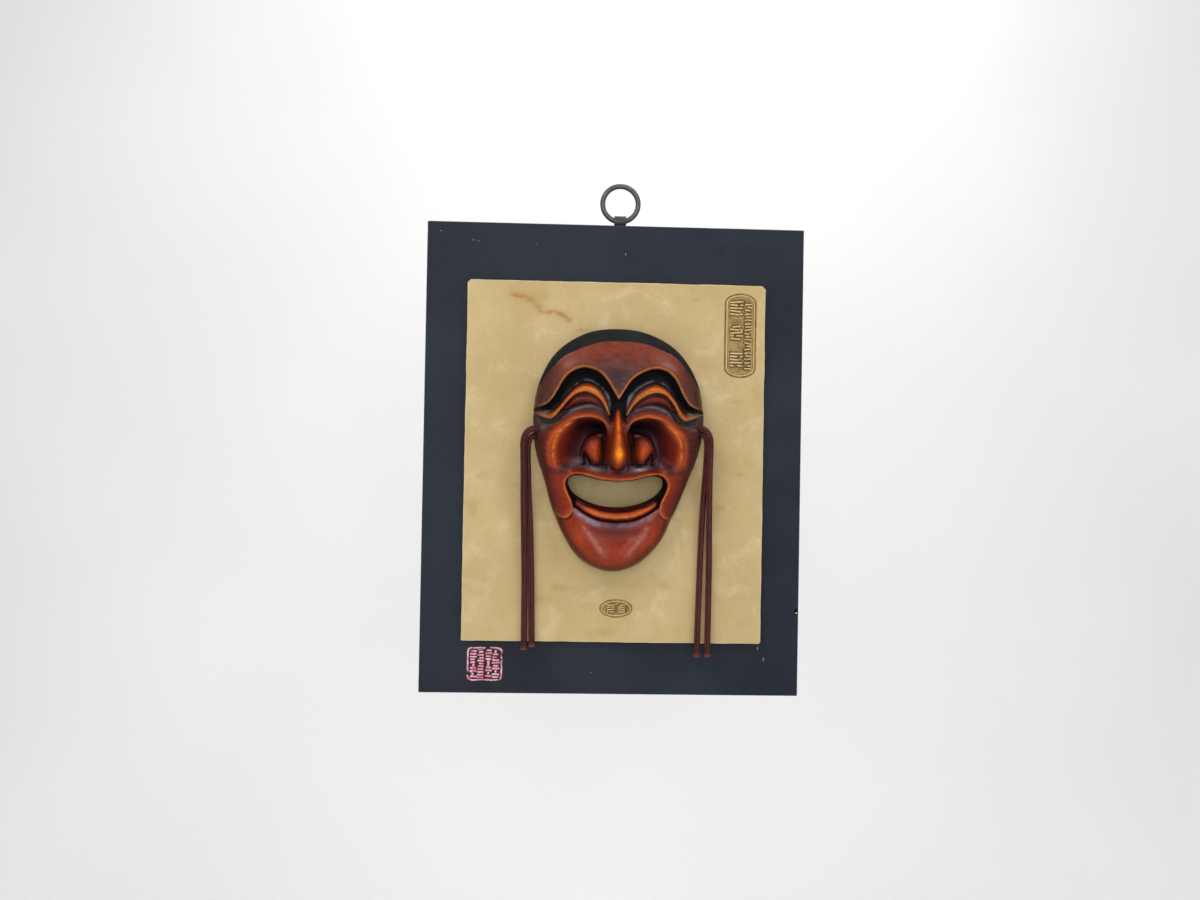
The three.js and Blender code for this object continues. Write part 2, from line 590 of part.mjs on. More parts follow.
function strapScrew() {
  const headY = BOARD_BACK_Y - REBATE_DEPTH + 2 * STRAP_SHEET;
  const dome = new THREE.EllipseCurve(0, 0, SCREW_HEAD_RADIUS, SCREW_HEAD_HEIGHT, 0, Math.PI / 2);
  const profile = [
    new THREE.Vector2(0, -SCREW_SHANK_LENGTH),
    new THREE.Vector2(SCREW_SHANK_RADIUS / 2, -SCREW_SHANK_LENGTH),
    new THREE.Vector2(SCREW_SHANK_RADIUS, 1 - SCREW_SHANK_LENGTH),
    new THREE.Vector2(SCREW_SHANK_RADIUS, 0),
    ...dome.getPoints(4).slice(0, -1),
    new THREE.Vector2(0, SCREW_HEAD_HEIGHT),
  ];
  const mesh = named("strap_screw", new THREE.LatheGeometry(profile, 16), materials.blackedSteel());
  mesh.position.set(0, headY, BOARD_TOP_Z - SCREW_BELOW_EDGE);
  return mesh;
}

const plaque = new THREE.Group();
plaque.add(board(), panel(), mask(), ringStrap(), strapScrew(), hangingRing());
for (const [name, route] of Object.entries(CORD_ROUTES)) plaque.add(cord(name, route));

export default plaque;
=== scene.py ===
import math
import bpy
import bmesh
import numpy as np
from mathutils import Matrix, Vector

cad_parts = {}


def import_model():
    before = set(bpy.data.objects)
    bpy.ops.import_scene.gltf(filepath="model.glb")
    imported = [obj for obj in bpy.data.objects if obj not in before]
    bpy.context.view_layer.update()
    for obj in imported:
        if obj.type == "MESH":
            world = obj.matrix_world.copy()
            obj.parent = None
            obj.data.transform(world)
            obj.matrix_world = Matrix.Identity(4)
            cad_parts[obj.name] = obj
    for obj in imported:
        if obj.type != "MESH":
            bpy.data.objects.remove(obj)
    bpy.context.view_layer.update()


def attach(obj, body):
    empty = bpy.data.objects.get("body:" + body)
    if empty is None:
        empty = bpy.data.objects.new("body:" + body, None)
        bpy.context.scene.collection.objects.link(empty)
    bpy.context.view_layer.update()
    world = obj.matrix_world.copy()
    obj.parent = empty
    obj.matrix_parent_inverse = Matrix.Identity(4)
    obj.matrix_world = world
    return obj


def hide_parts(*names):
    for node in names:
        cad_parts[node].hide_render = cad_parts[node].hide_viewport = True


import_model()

print("frame loaded")

mm = 0.001


# numbers and curves

def tone(red, green, blue):
    # a colour as read on a screen, turned into the linear one a shader wants
    return tuple(((v / 255 + 0.055) / 1.055) ** 2.4 if v > 10.3 else v / 255 / 12.92
                 for v in (red, green, blue)) + (1.0,)


def fade(low, high, x):
    t = np.clip((x - low) / (high - low), 0, 1)
    return t * t * (3 - 2 * t)


def mix(a, b, t):
    return a + (b - a) * t


def bell(x, width):
    return np.exp(-(x / width) ** 2)


def blot(x, z, middle, reach):
    # 1 in the middle of an oval patch, falling off smoothly
    return np.exp(-((x - middle[0]) / reach[0]) ** 2 - ((z - middle[1]) / reach[1]) ** 2)


def circle(sides, radius=1.0):
    turns = [2 * math.pi * k / sides for k in range(sides)]
    return [(radius * math.cos(a), radius * math.sin(a)) for a in turns]


def curveThrough(points, perSpan, closed=False):
    pts = np.asarray(points, float)
    count = len(pts)
    out = []
    for i in range(count if closed else count - 1):
        if closed:
            p0, p1, p2, p3 = [pts[(i + k) % count] for k in (-1, 0, 1, 2)]
        else:
            p1, p2 = pts[i], pts[i + 1]
            p0 = pts[i - 1] if i else 2 * p1 - p2
            p3 = pts[i + 2] if i + 2 < count else 2 * p2 - p1
        d0, d1, d2 = [max(1e-4, np.linalg.norm(b - a) ** 0.5) for a, b in ((p0, p1), (p1, p2), (p2, p3))]
        m1 = ((p1 - p0) / d0 - (p2 - p0) / (d0 + d1) + (p2 - p1) / d1) * d1
        m2 = ((p2 - p1) / d1 - (p3 - p1) / (d1 + d2) + (p3 - p2) / d2) * d1
        for k in range(perSpan):
            t = k / perSpan
            out.append((2 * t ** 3 - 3 * t * t + 1) * p1 + (t ** 3 - 2 * t * t + t) * m1
                       + (-2 * t ** 3 + 3 * t * t) * p2 + (t ** 3 - t * t) * m2)
    if not closed:
        out.append(pts[-1])
    return np.array(out)


def distanceTo(line, p, q):
    # distance from each point to the line, positive on the line's left
    best = np.full(p.shape, 1e9)
    side = np.ones(p.shape)
    for a, b in zip(line[:-1], line[1:]):
        d = b - a
        t = np.clip(((p - a[0]) * d[0] + (q - a[1]) * d[1]) / (d @ d), 0, 1)
        gap = np.hypot(p - a[0] - d[0] * t, q - a[1] - d[1] * t)
        near = gap < best - 1e-9
        best = np.where(near, gap, best)
        side = np.where(near, d[0] * (q - a[1]) - d[1] * (p - a[0]), side)
    return np.where(side < 0, -best, best)


def unevenness(x, y, size, seed):
    # smooth random field from -1 to 1, with a bump about every `size`
    cells = 128
    lattice = np.random.default_rng(seed).uniform(-1, 1, (cells, cells))
    u, v = x / size + 61.3, y / size + 40.7
    i, j = np.floor(u).astype(int), np.floor(v).astype(int)
    s, t = fade(0, 1, u - i), fade(0, 1, v - j)
    a, b = [lattice[(i + k) % cells, j % cells] for k in (0, 1)]
    c, d = [lattice[(i + k) % cells, (j + 1) % cells] for k in (0, 1)]
    return mix(mix(a, b, s), mix(c, d, s), t)


# pieces and cuts

def newPiece(name, mesh):
    piece = bpy.data.objects.new(name, mesh)
    bpy.context.scene.collection.objects.link(piece)
    return piece


def pieceFrom(bm, name):
    mesh = bpy.data.meshes.new(name)
    bm.to_mesh(mesh)
    bm.free()
    return newPiece(name, mesh)


def meshPiece(name, points, faces, outwards=False):
    # points in millimetres of the plaque's own frame
    mesh = bpy.data.meshes.new(name)
    mesh.from_pydata((np.asarray(points) * mm).tolist(), [], [list(map(int, f)) for f in faces])
    mesh.validate()
    mesh.polygons.foreach_set("use_smooth", [True] * len(mesh.polygons))
    if outwards:
        bm = bmesh.new()
        bm.from_mesh(mesh)
        bmesh.ops.recalc_face_normals(bm, faces=bm.faces)
        bm.to_mesh(mesh)
        bm.free()
    return newPiece(name, mesh)


def band(one, other):
    # the strip of faces between two closed loops of points
    after = list(range(1, len(one))) + [0]
    return [[one[m], one[k], other[k], other[m]] for k, m in enumerate(after)]


def prism(name, front, back):
    # a solid between two outlines with as many points each
    n = len(front)
    low, high = range(n), range(n, 2 * n)
    return meshPiece(name, np.vstack([front, back]), [list(low), list(high)[::-1]] + band(low, high), True)


def roundPeg(name, start, end, radius, sides=40):
    a, b = Vector(start), Vector(end)
    turn = (b - a).to_track_quat("Z", "Y").to_matrix()
    ring = [turn @ Vector((x, y, 0)) for x, y in circle(sides, radius)]
    return prism(name, [b + r for r in ring], [a + r for r in ring])


def brick(name, low, high, rounded=0.0):
    bm = bmesh.new()
    bmesh.ops.create_cube(bm, size=1)
    for v in bm.verts:
        v.co = Vector([(lo + hi) / 2 + c * (hi - lo) for c, lo, hi in zip(v.co, low, high)]) * mm
    if rounded:
        bmesh.ops.bevel(bm, geom=bm.edges, offset=rounded * mm, segments=3, profile=0.5, affect="EDGES")
    return pieceFrom(bm, name)


def gridFaces(index):
    corners = [index[:-1, :-1], index[:-1, 1:], index[1:, 1:], index[1:, :-1]]
    return np.stack(corners, -1).reshape(-1, 4).tolist()


def loopOf(index):
    # the border of a grid, as one closed loop
    return list(index[0, :-1]) + list(index[:-1, -1]) + list(index[-1, :0:-1]) + list(index[:0:-1, 0])


def settle(piece):
    # applies the piece's modifiers, so that it is a plain mesh
    mesh = bpy.data.meshes.new_from_object(piece.evaluated_get(bpy.context.evaluated_depsgraph_get()))
    piece.modifiers.clear()
    old, piece.data = piece.data, mesh
    mesh.name = piece.name
    bpy.data.meshes.remove(old)


def cutAway(piece, cutter):
    cut = piece.modifiers.new("cut", "BOOLEAN")
    cut.operation = "DIFFERENCE"
    cut.solver = "MANIFOLD"
    cut.object = cutter
    settle(piece)
    bpy.data.objects.remove(cutter)


def pointsOf(mesh):
    # across, deep and up, in millimetres
    spots = np.empty(len(mesh.vertices) * 3)
    mesh.vertices.foreach_get("co", spots)
    return spots.reshape(-1, 3).T / mm


def record(mesh, name, values):
    # a number at each point, for the finish to read
    made = mesh.attributes.new(name, "FLOAT", "POINT")
    made.data.foreach_set("value", values.astype(np.float32))


def dress(piece, finish, sharp):
    # one finish all over, smooth but for edges of more than `sharp` degrees
    mesh = piece.data
    mesh.materials.clear()
    mesh.materials.append(finish)
    mesh.polygons.foreach_set("use_smooth", [True] * len(mesh.polygons))
    mesh.set_sharp_from_angle(angle=math.radians(sharp))


def handOver(piece, body, node):
    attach(piece, body)
    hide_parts(node)
    print(node, len(piece.data.polygons), "faces")


# shader nodes

class Wire:
    # a node's output, on which plain sums can be done
    def __init__(self, socket):
        self.socket, self.tree = socket, socket.id_data

    def __add__(self, other):
        return calc("ADD", self, other)

    def __sub__(self, other):
        return calc("SUBTRACT", self, other)

    def __rsub__(self, other):
        return calc("SUBTRACT", other, self)

    def __mul__(self, other):
        return calc("MULTIPLY", self, other)

    def __truediv__(self, other):
        return calc("DIVIDE", self, other)

    def __pow__(self, other):
        return calc("POWER", self, other)

    def __abs__(self):
        return calc("ABSOLUTE", self)


def feed(socket, value):
    if isinstance(value, Wire):
        socket.id_data.links.new(value.socket, socket)
    else:
        socket.default_value = value


def calc(operation, *values):
    tree = next(v.tree for v in values if isinstance(v, Wire))
    made = tree.nodes.new("ShaderNodeMath")
    made.operation = operation
    for socket, value in zip(made.inputs, values):
        feed(socket, value)
    return Wire(made.outputs[0])


def lesser(a, b):
    return calc("MINIMUM", a, b)


def greater(a, b):
    return calc("MAXIMUM", a, b)


def fraction(a):
    return calc("FRACT", a)


def blend(amount, a, b, kind="MIX"):
    # a colour given as three numbers is one as read on a screen
    made = amount.tree.nodes.new("ShaderNodeMix")
    made.data_type = "RGBA"
    made.blend_type = kind
    for index, value in ((0, amount), (6, a), (7, b)):
        feed(made.inputs[index], tone(*value) if isinstance(value, tuple) else value)
    return Wire(made.outputs[2])


def remap(value, low, high, toLow=0.0, toHigh=1.0, smooth=True):
    made = value.tree.nodes.new("ShaderNodeMapRange")
    made.interpolation_type = "SMOOTHSTEP" if smooth else "LINEAR"
    for index, v in enumerate((value, low, high, toLow, toHigh)):
        feed(made.inputs[index], v)
    return Wire(made.outputs[0])


def cloud(where, size, detail=4.0, rough=0.55, warp=0.0):
    # noise with bumps of about `size` millimetres
    made = where.tree.nodes.new("ShaderNodeTexNoise")
    for key, v in (("Vector", where), ("Scale", 1000 / size), ("Detail", detail),
                   ("Roughness", rough), ("Distortion", warp)):
        feed(made.inputs[key], v)
    return Wire(made.outputs["Fac"])


def coordinate(tree, kind="Object"):
    return Wire(tree.nodes.new("ShaderNodeTexCoord").outputs[kind])


def surfacePlace(tree, scale=(1, 1, 1), turn=(0, 0, 0)):
    made = tree.nodes.new("ShaderNodeMapping")
    feed(made.inputs["Vector"], coordinate(tree))
    made.inputs["Scale"].default_value = scale
    made.inputs["Rotation"].default_value = [math.radians(v) for v in turn]
    return Wire(made.outputs["Vector"])


def parted(vector):
    made = vector.tree.nodes.new("ShaderNodeSeparateXYZ")
    feed(made.inputs[0], vector)
    return [Wire(out) for out in made.outputs]


def attribute(tree, name, output="Fac"):
    made = tree.nodes.new("ShaderNodeAttribute")
    made.attribute_name = name
    return Wire(made.outputs[output])


def newFinish(name, roughness, metallic=0.0, specular=0.5):
    finish = bpy.data.materials.new(name)
    finish.use_nodes = True
    tree = finish.node_tree
    shader = tree.nodes["Principled BSDF"]
    for key, value in (("Roughness", roughness), ("Metallic", metallic), ("Specular IOR Level", specular)):
        shader.inputs[key].default_value = value
    return finish, tree, shader


def raised(shader, layers):
    # stacks bumps: each layer is a height and its depth in millimetres
    normal = None
    for height, depth in layers:
        made = shader.id_data.nodes.new("ShaderNodeBump")
        made.inputs["Distance"].default_value = depth * mm
        feed(made.inputs["Height"], height)
        if normal:
            feed(made.inputs["Normal"], normal)
        normal = Wire(made.outputs["Normal"])
    feed(shader.inputs["Normal"], normal)


# camera, light and floor

view = {
    "lens": 27.0, "sensor": 36, "nearest": 20,
    "place": (-23.62, -480.78, -146.155),
    "pitch": 0.707, "roll": -1.026, "turn": -1.8,
}
plaqueMiddle = (0, 0, -146)
studio = {
    "floorLevel": -650.0, "backWall": 560.0, "curve": 300.0, "reach": 6000.0,
    "skyStrength": 0.35, "skyColour": (0.93, 0.96, 1.0, 1),
    "lamps": [
        # name, place, aim, size, watts, warmth
        ("lampAboveLeft", (-420, -520, 480), plaqueMiddle, 360, 2.5, (1.0, 0.98, 0.95)),
        ("lampAboveRight", (470, -560, 520), plaqueMiddle, 360, 2.2, (0.97, 0.98, 1.0)),
        ("lampFront", (-120, -1500, 60), plaqueMiddle, 1200, 6.4, (1.0, 1.0, 1.0)),
        ("lampLeft", (-850, -550, -150), plaqueMiddle, 700, 0.9, (1.0, 0.99, 0.97)),
        ("lampRight", (850, -550, -150), plaqueMiddle, 700, 1.0, (0.97, 0.98, 1.0)),
        ("lampOnWall", (120, 160, 900), (160, 560, -200), 500, 3.7, (1.0, 1.0, 1.0)),
    ],
}


def setCamera():
    camera = newPiece("camera", bpy.data.cameras.new("camera"))
    camera.data.lens = view["lens"]
    camera.data.sensor_width = view["sensor"]
    camera.data.clip_start = view["nearest"] * mm
    turn, roll, pitch = [Matrix.Rotation(math.radians(view[key]), 3, axis)
                         for key, axis in (("turn", "Z"), ("roll", "Y"), ("pitch", "X"))]
    look = turn @ roll @ pitch
    axes = Matrix((look.col[0], look.col[2], -look.col[1])).transposed()
    camera.matrix_world = Matrix.Translation(Vector(view["place"]) * mm) @ axes.to_4x4()
    bpy.context.scene.camera = camera
    bpy.context.scene.view_settings.view_transform = "Standard"


def layStage():
    # a pale floor that sweeps up behind in one sheet
    level, back, curve, wide = [studio[key] for key in ("floorLevel", "backWall", "curve", "reach")]
    profile = [(-wide, level), (back - curve, level)]
    profile += [(back - curve + curve * math.sin(a), level + curve - curve * math.cos(a))
                for a in np.linspace(0, math.pi / 2, 24)[1:]]
    profile += [(back, wide)]
    points = [(x, y, z) for y, z in profile for x in (-wide, wide)]
    faces = [(2 * k, 2 * k + 1, 2 * k + 3, 2 * k + 2) for k in range(len(profile) - 1)]
    floor = meshPiece("paleFloor", points, faces)
    finish, tree, shader = newFinish("paleFloorPaint", 0.9, specular=0.2)
    patch = remap(cloud(surfacePlace(tree), 400, 2), 0.3, 0.7)
    feed(shader.inputs["Base Color"], blend(patch, (246, 245, 244), (251, 250, 250)))
    floor.data.materials.append(finish)


def lightStage():
    world = bpy.data.worlds.new("studio")
    bpy.context.scene.world = world
    world.use_nodes = True
    sky = world.node_tree.nodes["Background"]
    sky.inputs[0].default_value = studio["skyColour"]
    sky.inputs[1].default_value = studio["skyStrength"]
    for name, place, aim, size, watts, warmth in studio["lamps"]:
        lamp = newPiece(name, bpy.data.lights.new(name, "AREA"))
        lamp.data.shape = "DISK"
        lamp.data.size = size * mm
        lamp.data.energy = watts
        lamp.data.color = warmth
        lamp.location = Vector(place) * mm
        lamp.rotation_euler = (Vector(aim) * mm - lamp.location).to_track_quat("-Z", "Y").to_euler()


setCamera()
layStage()
lightStage()
print("camera and studio ready")


# cords: the route of each, as (across, up, forward) from the mask's centre and the plate's face

maskCentre = (-0.8, -140.275)   # x and z of the mask's middle
plateFace = -8.5                # y of the plate's front

cord = {
    "diameter": 3.2, "core": 2.8,   # over the stitches, and under them
    "columns": 5,                   # columns of stitches round the cord
    "stitchPitch": 1.28, "relief": 0.42,
    "aroundSteps": 40, "alongStep": 0.16,
    "spanSteps": 14,                # points of the path between two of its route
    "frayed": 2.2,                  # length of the pale cut end
}
cordRoutes = {
    "cord_left_outer": [[-37.9, 8.8, 7.9], [-40.2, 9.6, 9.6], [-42.8, 10.1, 11.5], [-45.2, 8.9, 12.9],
        [-46.9, 6.4, 13.5], [-47.6, 3.1, 13.2], [-47.6, -1.5, 12], [-47.5, -8, 10.3], [-47.4, -16, 8.3],
        [-47.4, -25, 6.3], [-47.2, -35, 4.6], [-46.9, -46, 3.2], [-46.6, -58, 2.3], [-46.3, -70, 1.9],
        [-46.2, -82, 1.9], [-46.1, -94, 1.9], [-46, -104.3, 1.9]],
    "cord_left_inner": [[-38.9, 6.4, 5.4], [-41.1, 6.6, 7.3], [-43.1, 6.3, 8.9], [-44.6, 4.6, 9.7],
        [-45.3, 2.2, 9.7], [-45.5, -1.7, 9.1], [-45.4, -7, 7.9], [-45.2, -14, 6.2], [-44.9, -23, 4.3],
        [-44.3, -33, 3], [-43.7, -44, 2.4], [-43.2, -56, 2], [-42.8, -68, 1.9], [-42.5, -80, 1.9],
        [-42.2, -92, 1.9], [-41.9, -102.7, 1.9]],
    "cord_right_outer": [[40.9, 12.5, 7.9], [43.3, 12, 9.6], [45.4, 11.1, 11], [46.9, 9.4, 11.9],
        [47.9, 7, 12.2], [48.3, 4.4, 11.9], [48.5, -1, 11], [48.6, -8, 9.3], [48.8, -16, 7.6],
        [49.1, -25, 5.8], [49.4, -35, 4.2], [49.7, -46, 3], [50, -58, 2.2], [50, -70, 1.9], [50, -82, 1.9],
        [49.9, -95, 1.9], [49.8, -107, 1.9]],
    "cord_right_inner": [[41.5, 9.5, 5.7], [43.4, 9.15, 7.2], [45.1, 8.5, 8.4], [46.3, 7, 8.9],
        [46.9, 4.8, 8.8], [47.1, 2, 8.3], [47.1, -3, 7.3], [47, -10, 5.9], [46.6, -19, 4.3], [46.2, -29, 3],
        [45.8, -41, 2.2], [45.4, -55, 1.9], [45.1, -68, 1.9], [44.8, -81, 1.9], [44.5, -94, 1.9],
        [44.3, -107, 1.9]],
}


def toFrame(p, q, h):
    # from the mask's own measures to the plaque's frame, in millimetres
    return np.column_stack([p + maskCentre[0], plateFace - h, q + maskCentre[1]])


def inFrame(route):
    return toFrame(*np.array(route, float).T)


def cordFinish():
    finish, tree, shader = newFinish("maroonBraid", 0.62, specular=0.22)
    where = surfacePlace(tree)
    stitch = attribute(tree, "stitch")
    thread = cloud(where, 0.5, 2, 0.6)
    patch = remap(cloud(where, 14, 3, 0.6), 0.35, 0.65)
    # painted shade: the valleys between the stitches get a much darker colour than their crowns
    deep = blend(patch, (31, 11, 13), (41, 16, 17))
    top = blend(patch, (84, 28, 26), (112, 43, 39))
    colour = blend(remap(stitch, 0.5, 0.94), deep, top)
    # pale flecks on the stitch crowns: pale fibres, and a painted highlight on the raised thread
    colour = blend(remap(thread, 0.45, 0.75, 0, 0.45) * remap(stitch, 0.4, 0.8), colour, (160, 96, 84))
    colour = blend(attribute(tree, "frayed"), colour, (104, 58, 50))
    feed(shader.inputs["Base Color"], colour)
    shader.inputs["Sheen Weight"].default_value = 0.05
    shader.inputs["Sheen Roughness"].default_value = 0.4
    feed(shader.inputs["Roughness"], remap(stitch, 0, 1, 0.85, 0.5))
    raised(shader, [(thread, 0.12)])
    return finish


def cordTree():
    tree = bpy.data.node_groups.new("braidedCord", "GeometryNodeTree")
    for label, kind in (("Geometry", "Geometry"), ("Thickness", "Float"), ("Stitch Columns", "Int"),
                        ("Stitch Pitch", "Float"), ("Relief", "Float"), ("Around Steps", "Int"),
                        ("Along Step", "Float"), ("Length", "Float"), ("Frayed Length", "Float"),
                        ("Seed", "Int"), ("Finish", "Material")):
        tree.interface.new_socket(label, in_out="INPUT", socket_type="NodeSocket" + kind)
    tree.interface.new_socket("Geometry", in_out="OUTPUT", socket_type="NodeSocketGeometry")
    given = {s.name: Wire(s) for s in tree.nodes.new("NodeGroupInput").outputs}

    def node(kind, output=0, sockets=None, **settings):
        made = tree.nodes.new(kind)
        for key, value in settings.items():
            setattr(made, key, value)
        for key, value in (sockets or {}).items():
            feed(made.inputs[key], value)
        return Wire(made.outputs[output])

    def store(geometry, name, value):
        sockets = {"Geometry": geometry, "Name": name, "Value": value}
        return node("GeometryNodeStoreNamedAttribute", 0, sockets, data_type="FLOAT", domain="POINT")

    def named(name):
        return node("GeometryNodeInputNamedAttribute", "Attribute", {"Name": name}, data_type="FLOAT")

    run = node("GeometryNodeResampleCurve", 0,
               {"Curve": given["Geometry"], "Length": given["Along Step"]}, mode="LENGTH")
    run = store(run, "along", node("GeometryNodeSplineParameter", "Length"))
    section = node("GeometryNodeCurvePrimitiveCircle", "Curve",
                   {"Resolution": given["Around Steps"], "Radius": given["Thickness"] * 0.5})
    section = store(section, "around", node("GeometryNodeSplineParameter", "Factor"))
    tube = node("GeometryNodeCurveToMesh", 0, {"Curve": run, "Profile Curve": section, "Fill Caps": True})
    # each column of stitches is a row of V's: two sloping strands that meet in its middle
    along = named("along")
    aside = abs(fraction(named("around") * given["Stitch Columns"]) * 2.0 - 1.0)
    wave = fraction(along / given["Stitch Pitch"] - aside * 0.62) * 2.0 - 1.0
    strand = calc("SQRT", greater(1.0 - wave * wave, 0.0))
    valley = 1.0 - aside ** 5.0
    seam = 1.0 - calc("EXPONENT", aside * aside * -22.0) * 0.4
    stitch = strand * valley * seam
    # the cut end spreads a little and turns pale
    frayed = remap(given["Length"] - along, given["Frayed Length"], 0.0)
    wild = node("FunctionNodeRandomValue", 1, {2: 0.1, 3: 0.42, "Seed": given["Seed"]}, data_type="FLOAT")
    lift = (stitch - 0.3) * given["Relief"] + frayed * wild * mm
    way = node("ShaderNodeVectorMath", 0, {0: node("GeometryNodeInputNormal"), "Scale": lift},
               operation="SCALE")
    tube = store(store(tube, "stitch", stitch), "frayed", frayed)
    tube = node("GeometryNodeSetPosition", 0, {"Geometry": tube, "Offset": way})
    tube = node("GeometryNodeSetShadeSmooth", 0, {"Geometry": tube})
    tube = node("GeometryNodeRealizeInstances", 0, {"Geometry": tube})
    tube = node("GeometryNodeSetMaterial", 0, {"Geometry": tube, "Material": given["Finish"]})
    feed(tree.nodes.new("NodeGroupOutput").inputs[0], tube)
    return tree


def hangCords():
    tree, finish = cordTree(), cordFinish()
    sockets = {s.name: s.identifier for s in tree.interface.items_tree if s.in_out == "INPUT"}
    for seed, (name, route) in enumerate(cordRoutes.items()):
        centre = curveThrough(inFrame(route), cord["spanSteps"]) * mm
        length = float(np.linalg.norm(np.diff(centre, axis=0), axis=1).sum())
        path = bpy.data.curves.new(name + "_path", "CURVE")
        path.dimensions = "3D"
        spline = path.splines.new("POLY")
        spline.points.add(len(centre) - 1)
        spline.points.foreach_set("co", np.column_stack([centre, np.ones(len(centre))]).ravel())
        guide = newPiece(name + "_path", path)
        weave = guide.modifiers.new("braid", "NODES")
        weave.node_group = tree
        for label, value in (("Thickness", cord["core"] * mm), ("Stitch Columns", cord["columns"]),
                             ("Stitch Pitch", cord["stitchPitch"] * mm), ("Relief", cord["relief"] * mm),
                             ("Around Steps", cord["aroundSteps"]), ("Along Step", cord["alongStep"] * mm),
                             ("Length", length), ("Frayed Length", cord["frayed"] * mm),
                             ("Seed", seed), ("Finish", finish)):
            weave[sockets[label]] = value
        made = bpy.data.meshes.new_from_object(guide.evaluated_get(bpy.context.evaluated_depsgraph_get()))
        made.name = name + "_braid"
        bpy.data.objects.remove(guide)
        piece = newPiece(name + "_braid", made)
        # the second point of the route lies where the cord leaves the mask
        handOver(piece, "plaque", name)
        print(name, round(length / mm, 1), "mm long")


hangCords()


# board: a black painted slab with a rebate at the back for the strap

board = {
    "low": (-101.8, -5.5, -268.975), "high": (98.2, 3.5, -20.975),
    "easedEdge": 0.7,
    "rebate": (8.2, 3.25, 21.0),            # width, depth and height
    "screwDrop": 13.0, "screwHole": 1.5, "holeDeep": 4.5,
    "nick": (97.0, -224.3, 1.05),           # x, z and radius of the gouge in the right edge
    "stamp": (-67.4, -253.6, 18.6, 17.7),   # x, z, width and height of the pink stamp
    "stampRows": 10, "stampColumns": 4,
}


def stampPaint(where, x, z):
    # a broken frame round rows of short strokes, and the dark red that has bled round them
    stampX, stampZ, wide, tall = board["stamp"]
    wobble = (cloud(where, 1.8, 2) - 0.5) * 1.1
    u, v = (x - stampX + wobble) / wide, (z - stampZ + wobble) / tall
    # a square outline with its corners rounded off
    away = (abs(u) ** 9.0 + abs(v) ** 9.0) ** (1 / 9)
    frameLine = remap(abs(away - 0.475), 0.025, 0.015) * remap(cloud(where, 3.4, 1), 0.40, 0.43)
    rows, columns, filled = board["stampRows"], board["stampColumns"], 0.84
    columnAt = u * (columns / filled) + columns / 2
    columnNumber = calc("FLOOR", columnAt)
    rowAt = v * (rows / filled) + rows / 2 + columnNumber * 0.37
    cell = where.tree.nodes.new("ShaderNodeCombineXYZ")
    feed(cell.inputs[0], columnNumber)
    feed(cell.inputs[1], calc("FLOOR", rowAt))
    noise = where.tree.nodes.new("ShaderNodeTexWhiteNoise")
    noise.noise_dimensions = "2D"
    feed(noise.inputs["Vector"], Wire(cell.outputs[0]))
    chance = Wire(noise.outputs["Value"])
    reach = remap(chance, 0, 1, 0.32, 0.6, smooth=False)
    shift = (fraction(chance * 7.3) - 0.5) * greater(0.48 - reach, 0.0) * 2.0
    inRow = abs(fraction(rowAt) - 0.5)
    inColumn = abs(fraction(columnAt) - 0.5 - shift)
    strokes = remap(inRow, 0.34, 0.24) * remap(inColumn, reach, reach - 0.08)
    # in a few places an upright stroke instead
    upright = remap(inColumn, 0.17, 0.09) * remap(inRow, 0.5, 0.42)
    few = calc("GREATER_THAN", fraction(chance * 13.1), 0.84)
    strokes = strokes * (1.0 - few) + upright * few
    strokes = strokes * remap(away, 0.425, 0.415) * remap(abs(u), 0.015, 0.035)
    bleed = remap(away, 0.5, 0.44) * remap(cloud(where, 3.0, 2), 0.35, 0.6, 0.15, 0.6)
    return greater(frameLine, strokes), bleed


